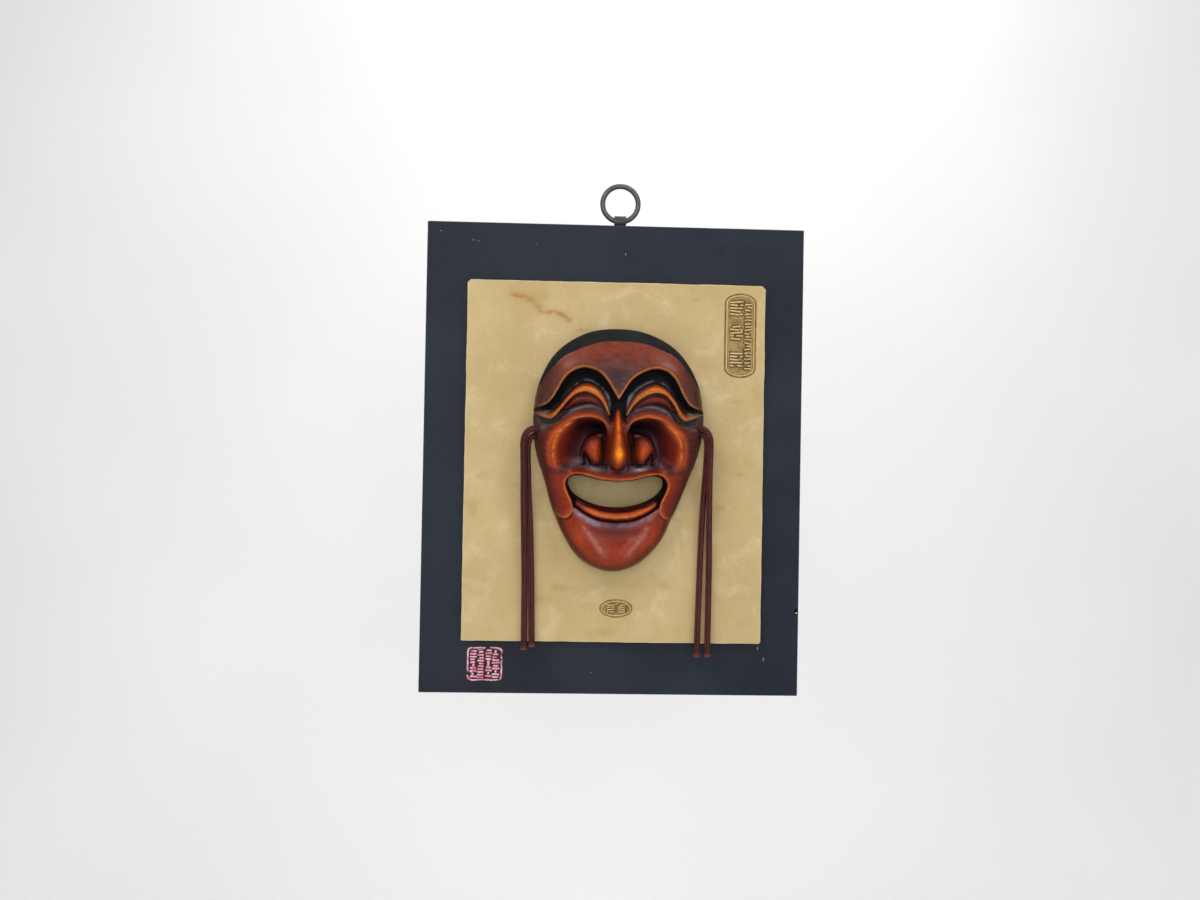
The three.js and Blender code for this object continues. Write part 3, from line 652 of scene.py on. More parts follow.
def boardFinish():
    finish, tree, shader = newFinish("blackBoardPaint", 0.48, specular=0.14)
    where = surfacePlace(tree)
    broad = cloud(where, 60, 3)
    fine = cloud(where, 0.9, 3, 0.6)
    brushed = cloud(surfacePlace(tree, (1, 1, 0.06)), 1.6, 3, 0.6)
    colour = blend(remap(broad, 0.35, 0.65), (29, 34, 42), (37, 42, 52))
    colour = blend(remap(fine, 0.4, 0.75, 0, 0.25), colour, (54, 59, 69))
    x, y, z = [axis / mm for axis in parted(coordinate(tree))]

    def offset(x0, z0, reachX, reachZ):
        # 0 in the middle of an oval patch of the front, 1 at its edge
        a, b = (x - x0) / reachX, (z - z0) / reachZ
        return a * a + b * b

    # dull rubbed patches near the top right corner
    rubbed = greater(remap(offset(62, -36, 20, 9), 1.0, 0.0), remap(offset(88, -30, 10, 7), 1.0, 0.0))
    rubbed = rubbed * remap(cloud(where, 7, 4, 0.7, 1.5), 0.48, 0.7)
    colour = blend(rubbed * 0.75, colour, (24, 25, 29))
    # a few pale specks and short scratches
    for speck in ((-94.7, -26.2, 0.45, 0.35), (-77.5, -30.6, 0.4, 0.5), (-74.8, -31.0, 0.3, 0.35),
                  (3.0, -36.3, 0.35, 0.7), (76.6, -243.9, 0.4, 0.9), (79.8, -249.7, 0.35, 1.3),
                  (-11.4, -257.5, 0.35, 0.3), (-44.0, -32.0, 0.25, 0.3)):
        colour = blend(remap(offset(*speck), 1.0, 0.4) * 0.6, colour, (150, 155, 162))
    nickX, nickZ, size = board["nick"]
    # painted shade: the inside of the gouge near black, and a painted highlight, a pale spot on its lower
    # inner face
    gouge = offset(nickX, nickZ, 1.3 * size, 1.9 * size) + (cloud(where, 0.9, 2) - 0.5) * 2.6
    colour = blend(remap(gouge, 0.95, 0.7), colour, (6, 6, 7))
    colour = blend(remap(offset(nickX + 0.1, nickZ - 0.75, 0.75, 0.35), 1.0, 0.4), colour, (205, 210, 214))
    # paint worn thin along the arrises: where two of the three distances to the faces are small
    a, b, c = [lesser(value - low, high - value)
               for value, low, high in zip((x, y, z), board["low"], board["high"])]
    second = greater(lesser(a, b), lesser(greater(a, b), c))
    worn = remap(second, 0.75, 0.25) * remap(cloud(where, 5, 4, 0.7), 0.4, 0.7, 0.1, 0.7)
    colour = blend(worn, colour, (84, 88, 94))
    pink, bleed = stampPaint(where, x, z)
    onFront = remap(y, -5.2, -5.4)
    pink = pink * onFront
    colour = blend(bleed * onFront, colour, (78, 26, 38))
    pinkTone = blend(remap(cloud(where, 2.2, 3), 0.35, 0.65), (214, 116, 138), (240, 190, 200))
    colour = blend(pink * remap(fine, 0.3, 0.5, 0.75, 1.0), colour, pinkTone)
    feed(shader.inputs["Base Color"], colour)
    rough = remap(broad, 0.3, 0.7, 0.36, 0.5) + remap(fine, 0.3, 0.7, -0.05, 0.08)
    feed(shader.inputs["Roughness"], rough + rubbed * 0.2 + pink * 0.25)
    raised(shader, [(fine, 0.03), (brushed, 0.03), (pink, 0.04)])
    return finish


def makeBoard():
    low, high = board["low"], board["high"]
    slab = brick("board_painted", low, high, board["easedEdge"])
    width, depth, height = board["rebate"]
    floorY, over = high[1] - depth, 5       # the cutter stands out of the board
    cutAway(slab, brick("rebate", (-width / 2, floorY, high[2] - height),
                        (width / 2, high[1] + over, high[2] + over)))
    holeZ = high[2] - board["screwDrop"]
    cutAway(slab, roundPeg("hole", (0, floorY - board["holeDeep"], holeZ), (0, floorY + 1, holeZ),
                           board["screwHole"]))
    x, z, radius = board["nick"]
    bm = bmesh.new()
    bmesh.ops.create_icosphere(bm, subdivisions=3, radius=1)
    for v in bm.verts:
        rough = 1 + 0.18 * math.sin(5 * v.co.x + 3 * v.co.z) * math.cos(4 * v.co.y)
        v.co = Vector((x + v.co.x * radius * rough, low[1] - 0.15 + v.co.y * 0.8,
                       z + v.co.z * radius * 1.6 * rough)) * mm
    cutAway(slab, pieceFrom(bm, "gouge"))
    dress(slab, boardFinish(), 32)
    for face in slab.data.polygons:
        face.use_smooth = face.area < 1e-4    # the big faces stay flat beside the gouge
    handOver(slab, "plaque", "board")


makeBoard()


# panel: a cast plate, with a cartouche and an oval raised on it

panel = {
    "centre": (-1.2, -146.475), "width": 157.4, "height": 189.3,
    "front": -8.5, "back": -5.5,
    "arris": 0.35,              # how far the edges are worn round
    "waviness": 0.28,           # of the edges
    "cornerCuts": {(-1, 1): 2.0, (1, 1): 2.2, (1, -1): 1.3, (-1, -1): 0.8},   # by side and end
    "cartouche": (64.2, -78.675, 15.4, 43.2, 4.6),      # x, z, width, height and rise of its ends
    "oval": (0.95, -223.25, 16.1, 8.3),
    "rimHeight": 0.6,
    "cell": 1.35, "fineCell": 0.27,     # of the grid, and on the ornaments
}


def spacing(low, high, coarse, finer):
    # grid lines from low to high, closer together inside the finer stretches
    marks = [low]
    while marks[-1] < high - 1e-6:
        at = marks[-1]
        step = coarse
        for a, b, fine in finer:
            if a - 1e-6 <= at < b - 1e-6:
                step = min(step, fine)
            elif at < a < at + step:
                step = a - at
        marks.append(min(high, at + step))
    if marks[-1] - marks[-2] < 0.05:
        marks.pop(-2)
    return np.array(marks)


def strokeRows(x, z, rows, depth, seed, spread=0):
    # short shallow strokes in rows; each row is (x from, x to, z, thickness, lean, pieces)
    chance = np.random.default_rng(seed)
    out = np.zeros(x.shape)
    for x0, x1, zRow, thick, lean, pieces in rows:
        cuts = np.sort(chance.uniform(0, 1, pieces - 1)) if pieces > 1 else np.array([])
        ends = np.concatenate([[0], cuts, [1]])
        for a, b in zip(ends[:-1], ends[1:]):
            a, b = x0 + (x1 - x0) * a + 0.5, x0 + (x1 - x0) * b - 0.5
            if b - a < 0.3:
                continue
            tilt = lean * chance.uniform(-1, 1)
            middle = (a + b) / 2
            dx = np.maximum(0, np.abs(x - middle) - (b - a) / 2)
            gap = np.hypot(dx, z - zRow - tilt * (x - middle))
            out = np.maximum(out, depth * (1 - fade(0.3 * thick, 0.62 * thick + spread, gap)))
    return out


def insideOval(u, v, a, b):
    # distance inward from the edge of an oval
    r = np.hypot(u / a, v / b)
    return (1 - r) / np.maximum(np.hypot(u / a ** 2, v / b ** 2) / np.maximum(r, 1e-6), 1e-6)


def cartoucheInside(x, z):
    # distance inside the cartouche's outline: straight sides and low arched ends
    cx, cz, width, height, rise = panel["cartouche"]
    u, v = np.abs(x - cx), np.abs(z - cz)
    half, straight = width / 2, height / 2 - rise
    arched = insideOval(u, np.maximum(v - straight, 0), half, rise)
    return np.where(v > straight, arched, half - u)


def cartoucheRows():
    cx, cz = panel["cartouche"][:2]
    rows = []
    for block in (15.0, 2.0, -12.2):
        for k in range(5):
            odd = k + int(block)
            start = cx - 5.7 + 0.9 * ((odd + 2 * k) % 3 == 1)
            rows.append((start, cx + 1.5 - 1.1 * (odd % 4 == 2), cz + block - 1.62 * k + 2.8,
                         0.85, 0.14, 1 + (odd + k) % 3))
    for k in range(21):
        rows.append((cx + 2.0 + 0.5 * (k % 3 == 1), cx + 6.2 - 0.6 * (k % 4 == 2),
                     cz + 16.6 - 1.55 * k - 0.5 * (k // 3), 0.75, 0.2, 1 + k % 2))
    return rows


def panelRelief(x, z):
    # height above the plate's face, how deep in the antiquing each point lies, and how far inside an ornament
    ox, oz, ovalWidth, ovalHeight = panel["oval"]
    inside = cartoucheInside(x, z)
    inOval = insideOval(x - ox, z - oz, ovalWidth / 2, ovalHeight / 2)
    high = panel["rimHeight"]
    relief = 0.07 * unevenness(x, z, 17, 3) + 0.05 * unevenness(x, z, 7, 4) + 0.02 * unevenness(x, z, 3, 5)
    relief = relief * (1 - 0.7 * fade(-3, 0, np.maximum(inside, inOval)))
    # cartouche: outer rim, a thin groove and an inner line
    rims = bell(inside - 0.5, 0.36) + 0.55 * bell(inside - 1.45, 0.3)
    relief += high * rims * (inside > -0.8)
    relief -= 0.16 * bell(inside + 0.45, 0.4)
    field = inside > 1.9
    strokes = strokeRows(x, z, cartoucheRows(), 0.42, 21)
    halo = strokeRows(x, z, cartoucheRows(), 1, 21, 1.3)
    relief += np.where(field, strokes, 0)
    # oval: one rim and two rows of strokes
    ring = bell(inOval - 0.45, 0.28) + 0.35 * bell(inOval - 1.15, 0.22)
    relief += high * ring * (inOval > -0.8)
    relief -= 0.14 * bell(inOval + 0.4, 0.35)
    ovalRows = [(ox + side * 2.9 - 2.3, ox + side * 2.9 + 2.3, oz + 1.75 - 1.17 * k, 0.66, 0.35,
                 1 + (k + (side > 0)) % 2) for side in (-1, 1) for k in range(4)]
    marks = strokeRows(x, z, ovalRows, 0.42, 33)
    markHalo = strokeRows(x, z, ovalRows, 1, 33, 1.2)
    relief += np.where(inOval > 1.4, marks, 0)
    ground = mix(0.6, 1, halo * field) * (1 - 2.1 * strokes * field)
    ovalGround = mix(0.5, 1, markHalo) * (1 - 2.1 * marks)
    stain = np.maximum(fade(-0.9, 0.2, inside) * (1 - np.clip(rims, 0, 1)) * ground,
                       fade(-0.7, 0.1, inOval) * (1 - np.clip(ring, 0, 1)) * ovalGround)
    grooves = np.maximum(bell(inside - 1.0, 0.3), bell(inOval - 0.95, 0.28))
    stain = np.maximum(np.clip(stain, 0, 1), 0.95 * grooves)
    outside = np.maximum(bell(inside + 0.35, 0.45), bell(inOval + 0.3, 0.35))
    return relief, np.clip(np.maximum(stain, 0.9 * outside), 0, 1), np.maximum(inside, inOval)


def panelFinish():
    finish, tree, shader = newFinish("castPlatePaint", 0.55, specular=0.2)
    where = surfacePlace(tree)
    patch = cloud(where, 16, 5, 0.65, 0.6)
    fine = cloud(where, 1.1, 4, 0.6)
    colour = blend(remap(cloud(where, 45, 4, 0.6), 0.35, 0.65), (189, 165, 115), (198, 175, 126))
    colour = blend(remap(patch, 0.5, 0.72, 0, 0.55), colour, (184, 157, 102))
    colour = blend(remap(patch, 0.47, 0.3, 0, 0.5), colour, (213, 191, 150))
    colour = blend(remap(fine, 0.35, 0.7, 0, 0.16), colour, (168, 143, 98))
    # brown and olive smears left by the antiquing
    leaning = surfacePlace(tree, (1, 1, 1.6), (0, 35, 0))
    smear = remap(cloud(leaning, 5, 5, 0.7, 1.6), 0.6, 0.78) * remap(cloud(where, 30, 2), 0.48, 0.66)
    colour = blend(smear * 0.45, colour, (168, 136, 78))
    ragged = remap(cloud(where, 2.6, 4, 0.7, 0.8), 0.34, 0.6, 0.4, 1.0)
    colour = blend(attribute(tree, "scuff") * ragged, colour, (168, 127, 66))
    colour = blend(remap(cloud(where, 2.4, 2, 0.7), 0.70, 0.76, 0, 0.4), colour, (150, 124, 82))
    # pale edges: worn paint, and a painted highlight along the rounded rim
    colour = blend(attribute(tree, "edgeWearAndHighlight"), colour, (214, 196, 166))
    # dark wash in the sunk grounds, light on what stands up
    stain = attribute(tree, "stain")
    ground = blend(remap(cloud(where, 3.2, 4, 0.6), 0.35, 0.65), (128, 98, 48), (164, 134, 80))
    ground = blend(remap(stain, 0.62, 0.95), ground, (70, 48, 14))
    colour = blend(remap(stain, 0.05, 0.5) * remap(fine, 0.25, 0.6, 0.8, 1.0), colour, ground)
    colour = blend(attribute(tree, "rubbed") * 0.75, colour, (220, 194, 138))
    feed(shader.inputs["Base Color"], colour)
    feed(shader.inputs["Roughness"], remap(patch + fine, 0.7, 1.3, 0.44, 0.62))
    raised(shader, [(fine, 0.05), (patch, 0.25), (cloud(where, 4, 3), 0.06)])
    return finish


def gridLines(axis, low, high):
    # closer together on the ornaments and at the worn edges
    finer = [(made[axis] - made[axis + 2] / 2 - 1, made[axis] + made[axis + 2] / 2 + 1, panel["fineCell"])
             for made in (panel["cartouche"], panel["oval"])]
    for a, b, step in ((0, 0.15, 0.15), (0.15, 0.35, 0.2), (0.35, 0.65, 0.3), (0.65, 1.4, 0.4)):
        finer += [(low + a, low + b, step), (high - b, high - a, step)]
    return spacing(low, high, panel["cell"], finer)


def castPlate(left, right, low, high):
    cx, cz = panel["centre"]
    x, z = np.meshgrid(gridLines(0, left, right), gridLines(1, low, high))
    relief = panelRelief(x, z)[0]
    toSide, toEnd = np.minimum(x - left, right - x), np.minimum(z - low, high - z)
    gap = np.minimum(toSide, toEnd)
    arris = panel["arris"] * (1 + 0.35 * unevenness(x, z, 9, 8))
    drop = np.where(gap < arris, arris - np.sqrt(np.maximum(0, arris ** 2 - (arris - gap) ** 2)), 0)

    def wander(near, along, row, seed):
        # the edges wander a little
        size = 0.5 + 0.5 * unevenness(*row(along, 13), seed) + 0.3 * unevenness(*row(along, 3.5), seed + 1)
        return fade(6, 0, near) * panel["waviness"] * size

    movedX = x - np.sign(x - cx) * wander(toSide, z, lambda a, size: (a, a * 0 + 3 * (size > 9), size), 11)
    movedZ = z - np.sign(z - cz) * wander(toEnd, x, lambda a, size: (a, a * 0 + 9 * (size > 9), size), 13)
    surface = panel["front"] - relief + drop
    points = np.column_stack([movedX.ravel(), surface.ravel(), movedZ.ravel()]).tolist()
    index = np.arange(x.size).reshape(x.shape)
    faces, loop = gridFaces(index), loopOf(index)
    rim = [points[i] for i in loop]
    for level in (panel["front"] + 1.2, panel["back"]):
        deeper = range(len(points), len(points) + len(loop))
        points += [[px, level, pz] for px, _, pz in rim]
        faces += band(loop, deeper)
        loop = deeper
    points.append([cx, panel["back"], cz])
    middle, n = len(points) - 1, len(loop)
    faces += [[loop[(k + 1) % n], loop[k], middle] for k in range(n)]
    return meshPiece("panel_cast", points, faces)


def makePanel():
    cx, cz = panel["centre"]
    w, h = panel["width"] / 2, panel["height"] / 2
    left, right, low, high = cx - w, cx + w, cz - h, cz + h
    plate = castPlate(left, right, low, high)
    out = 6.0       # how far the corner cutters stand out
    for (side, end), cut in panel["cornerCuts"].items():
        x0, z0 = cx + side * w, cz + end * h
        base = [(x0 - side * (cut + out), z0 + end * out), (x0 + side * out, z0 - end * (cut + out)),
                (x0 + side * out, z0 + end * out)]
        cutAway(plate, prism("wedge", *[[(a, level, b) for a, b in base]
                                        for level in (panel["front"] - 3, panel["back"] + 3)]))
    mesh = plate.data
    x, y, z = pointsOf(mesh)
    relief, stain, inside = panelRelief(x, z)
    onFront = y < panel["front"] + 0.9
    stand = fade(0.22, 0.5, relief) * (inside > -0.6) * onFront
    gap = np.minimum(np.minimum(x - left, right - x), np.minimum(z - low, high - z))
    # pale band along the edges: worn paint, and a painted highlight where the rounded arris catches the light
    wearAndHighlight = fade(0.8, 0.3, gap) * (0.55 + 0.4 * unevenness(x, z, 6, 15)) * onFront
    # one brown run near the top left, and faint spots elsewhere
    run = curveThrough([[-56, -59.5], [-49, -61.2], [-44, -64.2], [-40.2, -68.2], [-34, -68.2],
                        [-29, -70.2], [-26, -72.6]], 6)
    away = np.abs(distanceTo(run, x, z))
    scuff = 0.8 * fade(1.5, 0.3, away) + 0.3 * fade(5, 0.5, away) + 0.3 * blot(x, z, (-44, -60), (10, 2.6))
    for x0, z0, rx, rz, lean in [
            (-19.6, -77.8, 3.5, 0.9, 0.4), (-70.7, -154.5, 3, 2.5, 0), (65, -152, 2.5, 1.2, 0),
            (54, -169.8, 4, 2.2, 0.2), (63, -113.6, 4, 1.5, 0.2), (-40, -218.8, 6, 3, -0.4),
            (-74.5, -172, 2, 5, 0), (27, -211, 5, 2, 0.5), (-28, -213, 5, 2, 0.6), (-50, -160, 4, 2, 0.4),
            (40, -60, 3, 1, 0.3), (-5, -236, 8, 2, 0.2)]:
        scuff = np.maximum(scuff, 0.45 * blot(x + lean * (z - z0), z, (x0, z0), (rx, rz)))
    for name, values in (("stain", stain * onFront), ("rubbed", stand), ("edgeWearAndHighlight", np.clip(wearAndHighlight, 0, 1)),
                         ("scuff", np.clip(scuff, 0, 1) * onFront)):
        record(mesh, name, values)
    dress(plate, panelFinish(), 60)
    handOver(plate, "plaque", "panel")


makePanel()


# mask: one lacquered casting, carved by the lines below and painted over in washes

mask = {
    "across": 224, "up": 316,       # cells over the front
    "halfWidth": 44.0, "halfHeight": 62.9,
    "edgeHeight": 5.0, "rim": 4.0, "edgeLevels": (3.4, 1.8, 0.45), "backInset": 0.45,
    "hollow": {"low": 5.3, "high": 10.0, "edge": 14.0, "centre": -8.0, "reach": (28, 25)},
    "cordHole": 1.85,
    "softening": 0.42,              # of the carved edges
    "noseLow": -10.1,               # level of the nose's underside
}
faceGrid = {"cell": 0.25, "left": -46, "low": -65}     # the survey of the whole face
maskOutline = [[0, 62.8], [15.6, 60.6], [31.2, 51.8], [42, 35], [45, 16.6], [43.2, 1.4], [37.2, -16.5],
    [29.6, -35], [22, -49.6], [9.5, -60.2], [-2.5, -62.9], [-14.8, -58.7], [-22.3, -51.4], [-31.4, -33.9],
    [-36.6, -16.8], [-41.7, 0], [-43, 16.6], [-41, 32], [-32, 49.7], [-16, 60.4]]
carvedLines = {
    "brow": [[0, 26], [2.7, 30.4], [6.3, 35.9], [10.4, 39.8], [17.3, 41.9], [22.9, 40.4], [27.5, 36.6],
        [33.2, 26.8], [36.4, 23.2], [41.5, 21.4]],
    "browFloor": [[2.9, 16.8], [4.4, 23.4], [7, 29.5], [11, 33.6], [16.5, 35.5], [22, 33.3], [26.7, 28],
        [30.6, 22.6], [34.9, 19.7], [41, 19.2]],
    "ridge": [[4.9, 18.1], [7.4, 23], [11.2, 27.3], [17.3, 29.4], [21.6, 28.3], [25.7, 24.9], [29.5, 20],
        [32.6, 16.5], [35.1, 15.2], [41, 17.4]],
    "arch": [[5.1, 16.3], [9.5, 19.7], [14.8, 21.3], [22, 19.5], [26.8, 16.4], [31.2, 13.1], [35, 12],
        [42, 13.6]],
    "cheek": [[5, -6], [5, 2], [5.3, 9.5], [7.3, 14], [12.9, 16.1], [19.3, 15.9], [25.4, 13.9],
        [30.3, 9.8], [33.3, 4], [33.9, -2.8], [33, -7.8], [30, -11.5], [24, -12]],
    "wing": [[5, 8.6], [11.7, 7.5], [16.6, 3.4], [18.9, -1.6], [18.8, -8]],
    "lipRim": [[0, -15.8], [8.5, -14.9], [15, -13.2], [19.8, -12.3], [23.4, -13.1], [25.9, -15.8],
        [26.3, -18.5], [24.9, -22.5], [22.8, -27], [22.3, -31], [23.8, -34], [26.8, -35.2], [33, -31.5]],
    "chin": [[0, -37.4], [9, -36.3], [15.8, -33.4], [21, -30], [26, -26.4]],
    "hair": [[0, 55.7], [9, 55], [20, 51.4], [28.1, 47.3], [35.3, 40.1], [40.3, 33], [46, 24]],
}
mouthEdge = [[0, -16.5], [8.6, -15.6], [15, -14.1], [20.6, -13.3], [24.0, -14.8], [24.5, -17.8],
    [22.1, -22.1], [17.6, -25.4], [11.9, -27.8], [5.5, -29.3], [0, -29.7]]
noseRows = [(20.8, 0.3, 14.5), (19.5, 1.3, 15.8), (17, 2.3, 17.4), (14.5, 3.4, 18.9), (9.4, 4.8, 22.0),
    (4.4, 5.4, 25.2), (0, 6.0, 28.2), (-3, 6.3, 30.2), (-5.5, 5.8, 30.7), (-7.8, 4.4, 28.6),
    (-9.3, 2.6, 24.6), (-10.1, 0.4, 19.0)]    # up, half width and height of the ridge

noseLine = curveThrough(noseRows, 8)
outline = curveThrough(maskOutline, 10, closed=True)
outlineLoop = np.vstack([outline, outline[:1]])
carved = {name: curveThrough(points, 6) for name, points in carvedLines.items()}


def softMax(a, b, reach):
    near = np.maximum(reach - np.abs(a - b), 0) / reach
    return np.maximum(a, b) + near * near * reach / 4


def quarter(t):
    # rises along a quarter of a circle
    return np.sqrt(1 - (1 - t) ** 2)


def crestRise(t):
    return np.sin(np.clip(t, 0, 1) * np.pi / 2)


def shareOf(near, far):
    # 0 at one line and 1 at the next
    return near / np.maximum(far, 1e-3)


def carvingAt(p, q):
    # both halves follow the same lines, only a little shifted where the carver's hand wandered
    shift = 0.3 + 0.3 * fade(16, 26, q)
    shift = shift + 1.9 * fade(5, 15, p) * mix(1, 0.4, fade(24, 36, p)) * fade(14, 24, q)
    shift = shift + 0.7 * fade(5, 10, np.abs(p)) * fade(24, 19, np.abs(p)) * fade(12, 8, q) * fade(-11, -8, q)
    half = np.abs(p - shift)
    at = {name: distanceTo(line, half, q) for name, line in carved.items()}
    at["half"] = half
    at["inside"] = np.maximum(0, -distanceTo(outlineLoop, p, q))
    return at


def faceDome(at, q):
    upper = mix(17.5, 14, fade(40, 60, q))
    lower = mix(15, 15.5, fade(-22, -4, q))
    chin = mix(18.2, 15.6, fade(-46, -37, q))
    top = mix(chin, mix(lower, upper, fade(8, 26, q)), fade(-37, -31, q))
    return mix(mask["edgeHeight"], top, quarter(np.clip(at["inside"] / 18, 0, 1)))


def eyeLens(half, q):
    arc = np.maximum(0, 1 - ((half - 17) / 9) ** 2)
    return np.minimum(21.7 + 7.0 * arc ** 0.72 - q, q - 20.2 - 3.1 * arc)


def eyeCarving(at, q):
    brow, floor, ridge, arch, cheek = [at[k] for k in ("brow", "browFloor", "ridge", "arch", "cheek")]
    wall = fade(0, 1.0, -brow)
    rise = shareOf(-brow, floor - brow) ** 2
    groove = -4.4 * wall * (1 - 0.35 * rise)
    slope = mix(-3.0, 0.5, crestRise(shareOf(-floor, ridge - floor)))
    lens = 2.4 * np.sqrt(np.clip(eyeLens(at["half"], q) / 1.8, 0, 1))
    toArch = -1.3 * (1 - fade(0, 1.6, arch))
    eye = np.maximum(-3.7 + lens, mix(-3.7, toArch, 1 - fade(0, 1.5, arch)))
    eye = mix(0.5, eye, fade(0, 0.9, -ridge))
    below = mix(-1.3, -2.4, fade(0, 0.6, -arch)) * (1 - crestRise(shareOf(-arch, np.abs(cheek) - arch)))
    out = np.select([brow >= 0, floor >= 0, ridge >= 0, arch >= 0], [0 * brow, groove, slope, eye], below)
    return out * fade(0, 7, at["inside"])


def cheekCarving(at, q, plain):
    cheek, arch, half = at["cheek"], at["arch"], at["half"]
    full = plain + 3.4 * bell(cheek, 7) * fade(0, 5, -arch) * fade(-15, -8, q)
    t = shareOf(-cheek, np.abs(at["wing"]) - cheek)
    bowl = mix(crestRise(t * 1.7), fade(0, 1, t), fade(16, 27, half))
    return np.where((cheek >= 0) | (arch >= 0), full, mix(full, 8.5, bowl * fade(-16, -8, q)))


def wingInside(at, q):
    # how far in from the edge of the rounded wing of the nose
    half = at["half"]
    oval = 6.5 * (1 - np.hypot((half - 12.5) / 5.7, (q + 0.4) / 7.9))
    slant = (18.2 + 0.72 * q - half) / 1.2
    return np.minimum(np.minimum(oval, slant), np.minimum(half - 7.9, q + 7.5))


def noseProfile(q):
    # half width and height of the nose at each level
    return [np.interp(-q, -noseLine[:, 0], noseLine[:, k]) for k in (1, 2)]


def noseShape(at, q):
    half, wing = at["half"], at["wing"]
    width, top = noseProfile(q)
    shaft = 8 + (top - 8) * np.maximum(0, 1 - (half / width) ** 2) ** 0.55
    shaft = np.where((q < 20.7) & (q > -10), shaft, 0)
    edge = wingInside(at, q)
    pillow = 7.5 * quarter(np.clip(edge / 5.4, 0, 1))
    nostril = fade(12.8, 14.6, half) * fade(0.6, -1, q) * fade(0.3, -0.2, edge) * fade(-0.7, -1.3, wing)
    shell = mix(8, 11.8, fade(1.6, -0.8, wing)) + pillow + 0.5 * bell(wing + 0.9, 0.7) - 3.5 * nostril
    shell = shell * (q > -7.6) * (wing < 1.6)
    shell = mix(shell, np.minimum(shell, 10.4), fade(8.0, 7.2, half))
    return np.maximum(shaft, shell)


def upperFace(at, q):
    full = cheekCarving(at, q, faceDome(at, q) + eyeCarving(at, q))
    away = (at["half"] / 29) ** 2 + ((q + 18) / 11) ** 2
    muzzle = 5 + 14.5 * np.sqrt(np.maximum(0, 1 - away))
    full = np.where(q < -7.8, softMax(full, muzzle, 2), full)
    return softMax(full, noseShape(at, q), 0.5) + 0.5 * fade(-0.3, 0.3, at["hair"])


def chinEdge(half, q):
    # distance from the soft edge between the front and the side of the chin
    return (15.5 * (half - 16.5) - 11 * (q + 39)) / 19


def lipWidth(half):
    # how far the lower lip reaches up from the line of the chin, less towards its ends
    return mix(5.2, 3.3, fade(9, 20, half))


def jawShape(at, q):
    chin, half = at["chin"], at["half"]
    lipStart = 1.1      # where the lip rises out of the groove above the chin
    plain = faceDome(at, q) - 1.6 * fade(-42, -37, q) * fade(19, 23, half)
    plain = plain + 0.9 * bell(chinEdge(half, q), 3.0) * fade(-37, -41, q) * fade(2, 10, at["inside"])
    wide = lipWidth(half)
    bulge = ((2 * chin - lipStart - wide) / (wide - lipStart)) ** 2
    lip = mix(14.8, 12.8, fade(12, 20, half)) - 1.1 * bulge
    groove = mix(plain, 12.6 - 1.5 * fade(12, 20, half), fade(0, 0.9, chin))
    inner = mix(12.6, 8.5, fade(wide, wide + 4.2, chin))
    body = np.where(chin < lipStart, groove, np.where(chin < wide, lip, inner))
    body = mix(body, np.minimum(body, 9.5), fade(20, 22, half))
    return np.where(chin <= 0, plain, body)


def outerCheek(at, q):
    return fade(34, 37, at["half"]) * fade(14, 11, q) * fade(-10, -5, q) * (at["arch"] < 0)


def cheekCreases(half, q):
    # creases that arch over the outer cheeks
    wave = np.sin((q - 0.05 * (half - 33) ** 2 + 0.7 * np.sin(half * 0.8)) * 2 * np.pi / 3.1)
    return np.maximum(wave, 0) ** 6


def handMarks(at, p, q):
    # shallow unevenness of the carved original, creased cheeks and fine tool lines across the forehead
    marks = 0.10 * unevenness(p, q, 6, 31) + 0.04 * unevenness(p, q, 2.2, 32)
    marks = marks - 0.4 * outerCheek(at, q) * cheekCreases(at["half"], q)
    lines = np.maximum(0, unevenness(p * 0.12, q + 0.02 * p * p * 0.1, 0.9, 33))
    marks = marks - 0.05 * lines * (at["brow"] > 0) * (at["hair"] < 0)
    return marks * fade(1, 6, at["inside"])


def maskHeight(at, p, q):
    rim = at["lipRim"]
    top = upperFace(at, q)
    upper = top + 0.5 * np.exp(-np.maximum(rim, 0) / 1.2) * fade(0, 3, at["inside"])
    height = np.where(rim >= 0, upper, mix(top, jawShape(at, q), fade(0, 1.2, -rim)))
    return height + handMarks(at, p, q)


def hollowHeight(at, p, q):
    shape, rim = mask["hollow"], mask["rim"]
    r = (p / shape["reach"][0]) ** 2 + ((q - shape["centre"]) / shape["reach"][1]) ** 2
    top = mix(shape["low"], shape["high"], fade(0.9, 1.5, r))
    t = np.clip((at["inside"] - rim) / shape["edge"], 0, 1)
    return mix(0.5 * fade(rim - 0.4, rim, at["inside"]), top, quarter(t))


def discGrid(cellsAcross, cellsUp, inset):
    # a square grid bent to the mask's outline
    wide, tall = mask["halfWidth"], mask["halfHeight"]
    u, v = np.meshgrid(np.linspace(-1, 1, cellsAcross + 1), np.linspace(-1, 1, cellsUp + 1))
    x = u * np.sqrt(1 - v * v / 2) * wide
    y = v * np.sqrt(1 - u * u / 2) * tall
    reach = np.hypot(x / wide, y / tall)
    angles = np.arctan2(outline[:, 1], outline[:, 0])
    ratios = np.hypot(outline[:, 0] / wide, outline[:, 1] / tall)
    order = np.argsort(angles)
    bent = np.interp(np.arctan2(y, x), angles[order], ratios[order], period=2 * np.pi)
    ratio = mix(1, bent, reach ** 2)
    length = np.hypot(x, y) * ratio
    scale = np.where(length > 1e-6, ratio * (length - inset * reach) / np.maximum(length, 1e-6), 1)
    return (x * scale).ravel(), (y * scale).ravel(), np.arange(x.size).reshape(x.shape)


def smoothed(grid, reach):
    # a gaussian blur along both directions of the survey
    cell = faceGrid["cell"]
    half = int(3 * reach / cell) + 1
    kernel = np.exp(-0.5 * (np.arange(-half, half + 1) * cell / reach) ** 2)
    kernel /= kernel.sum()
    padded = np.pad(grid, half, mode="edge")
    rows = sum(k * padded[:, i:i + grid.shape[1]] for i, k in enumerate(kernel))
    return sum(k * rows[i:i + grid.shape[0]] for i, k in enumerate(kernel))


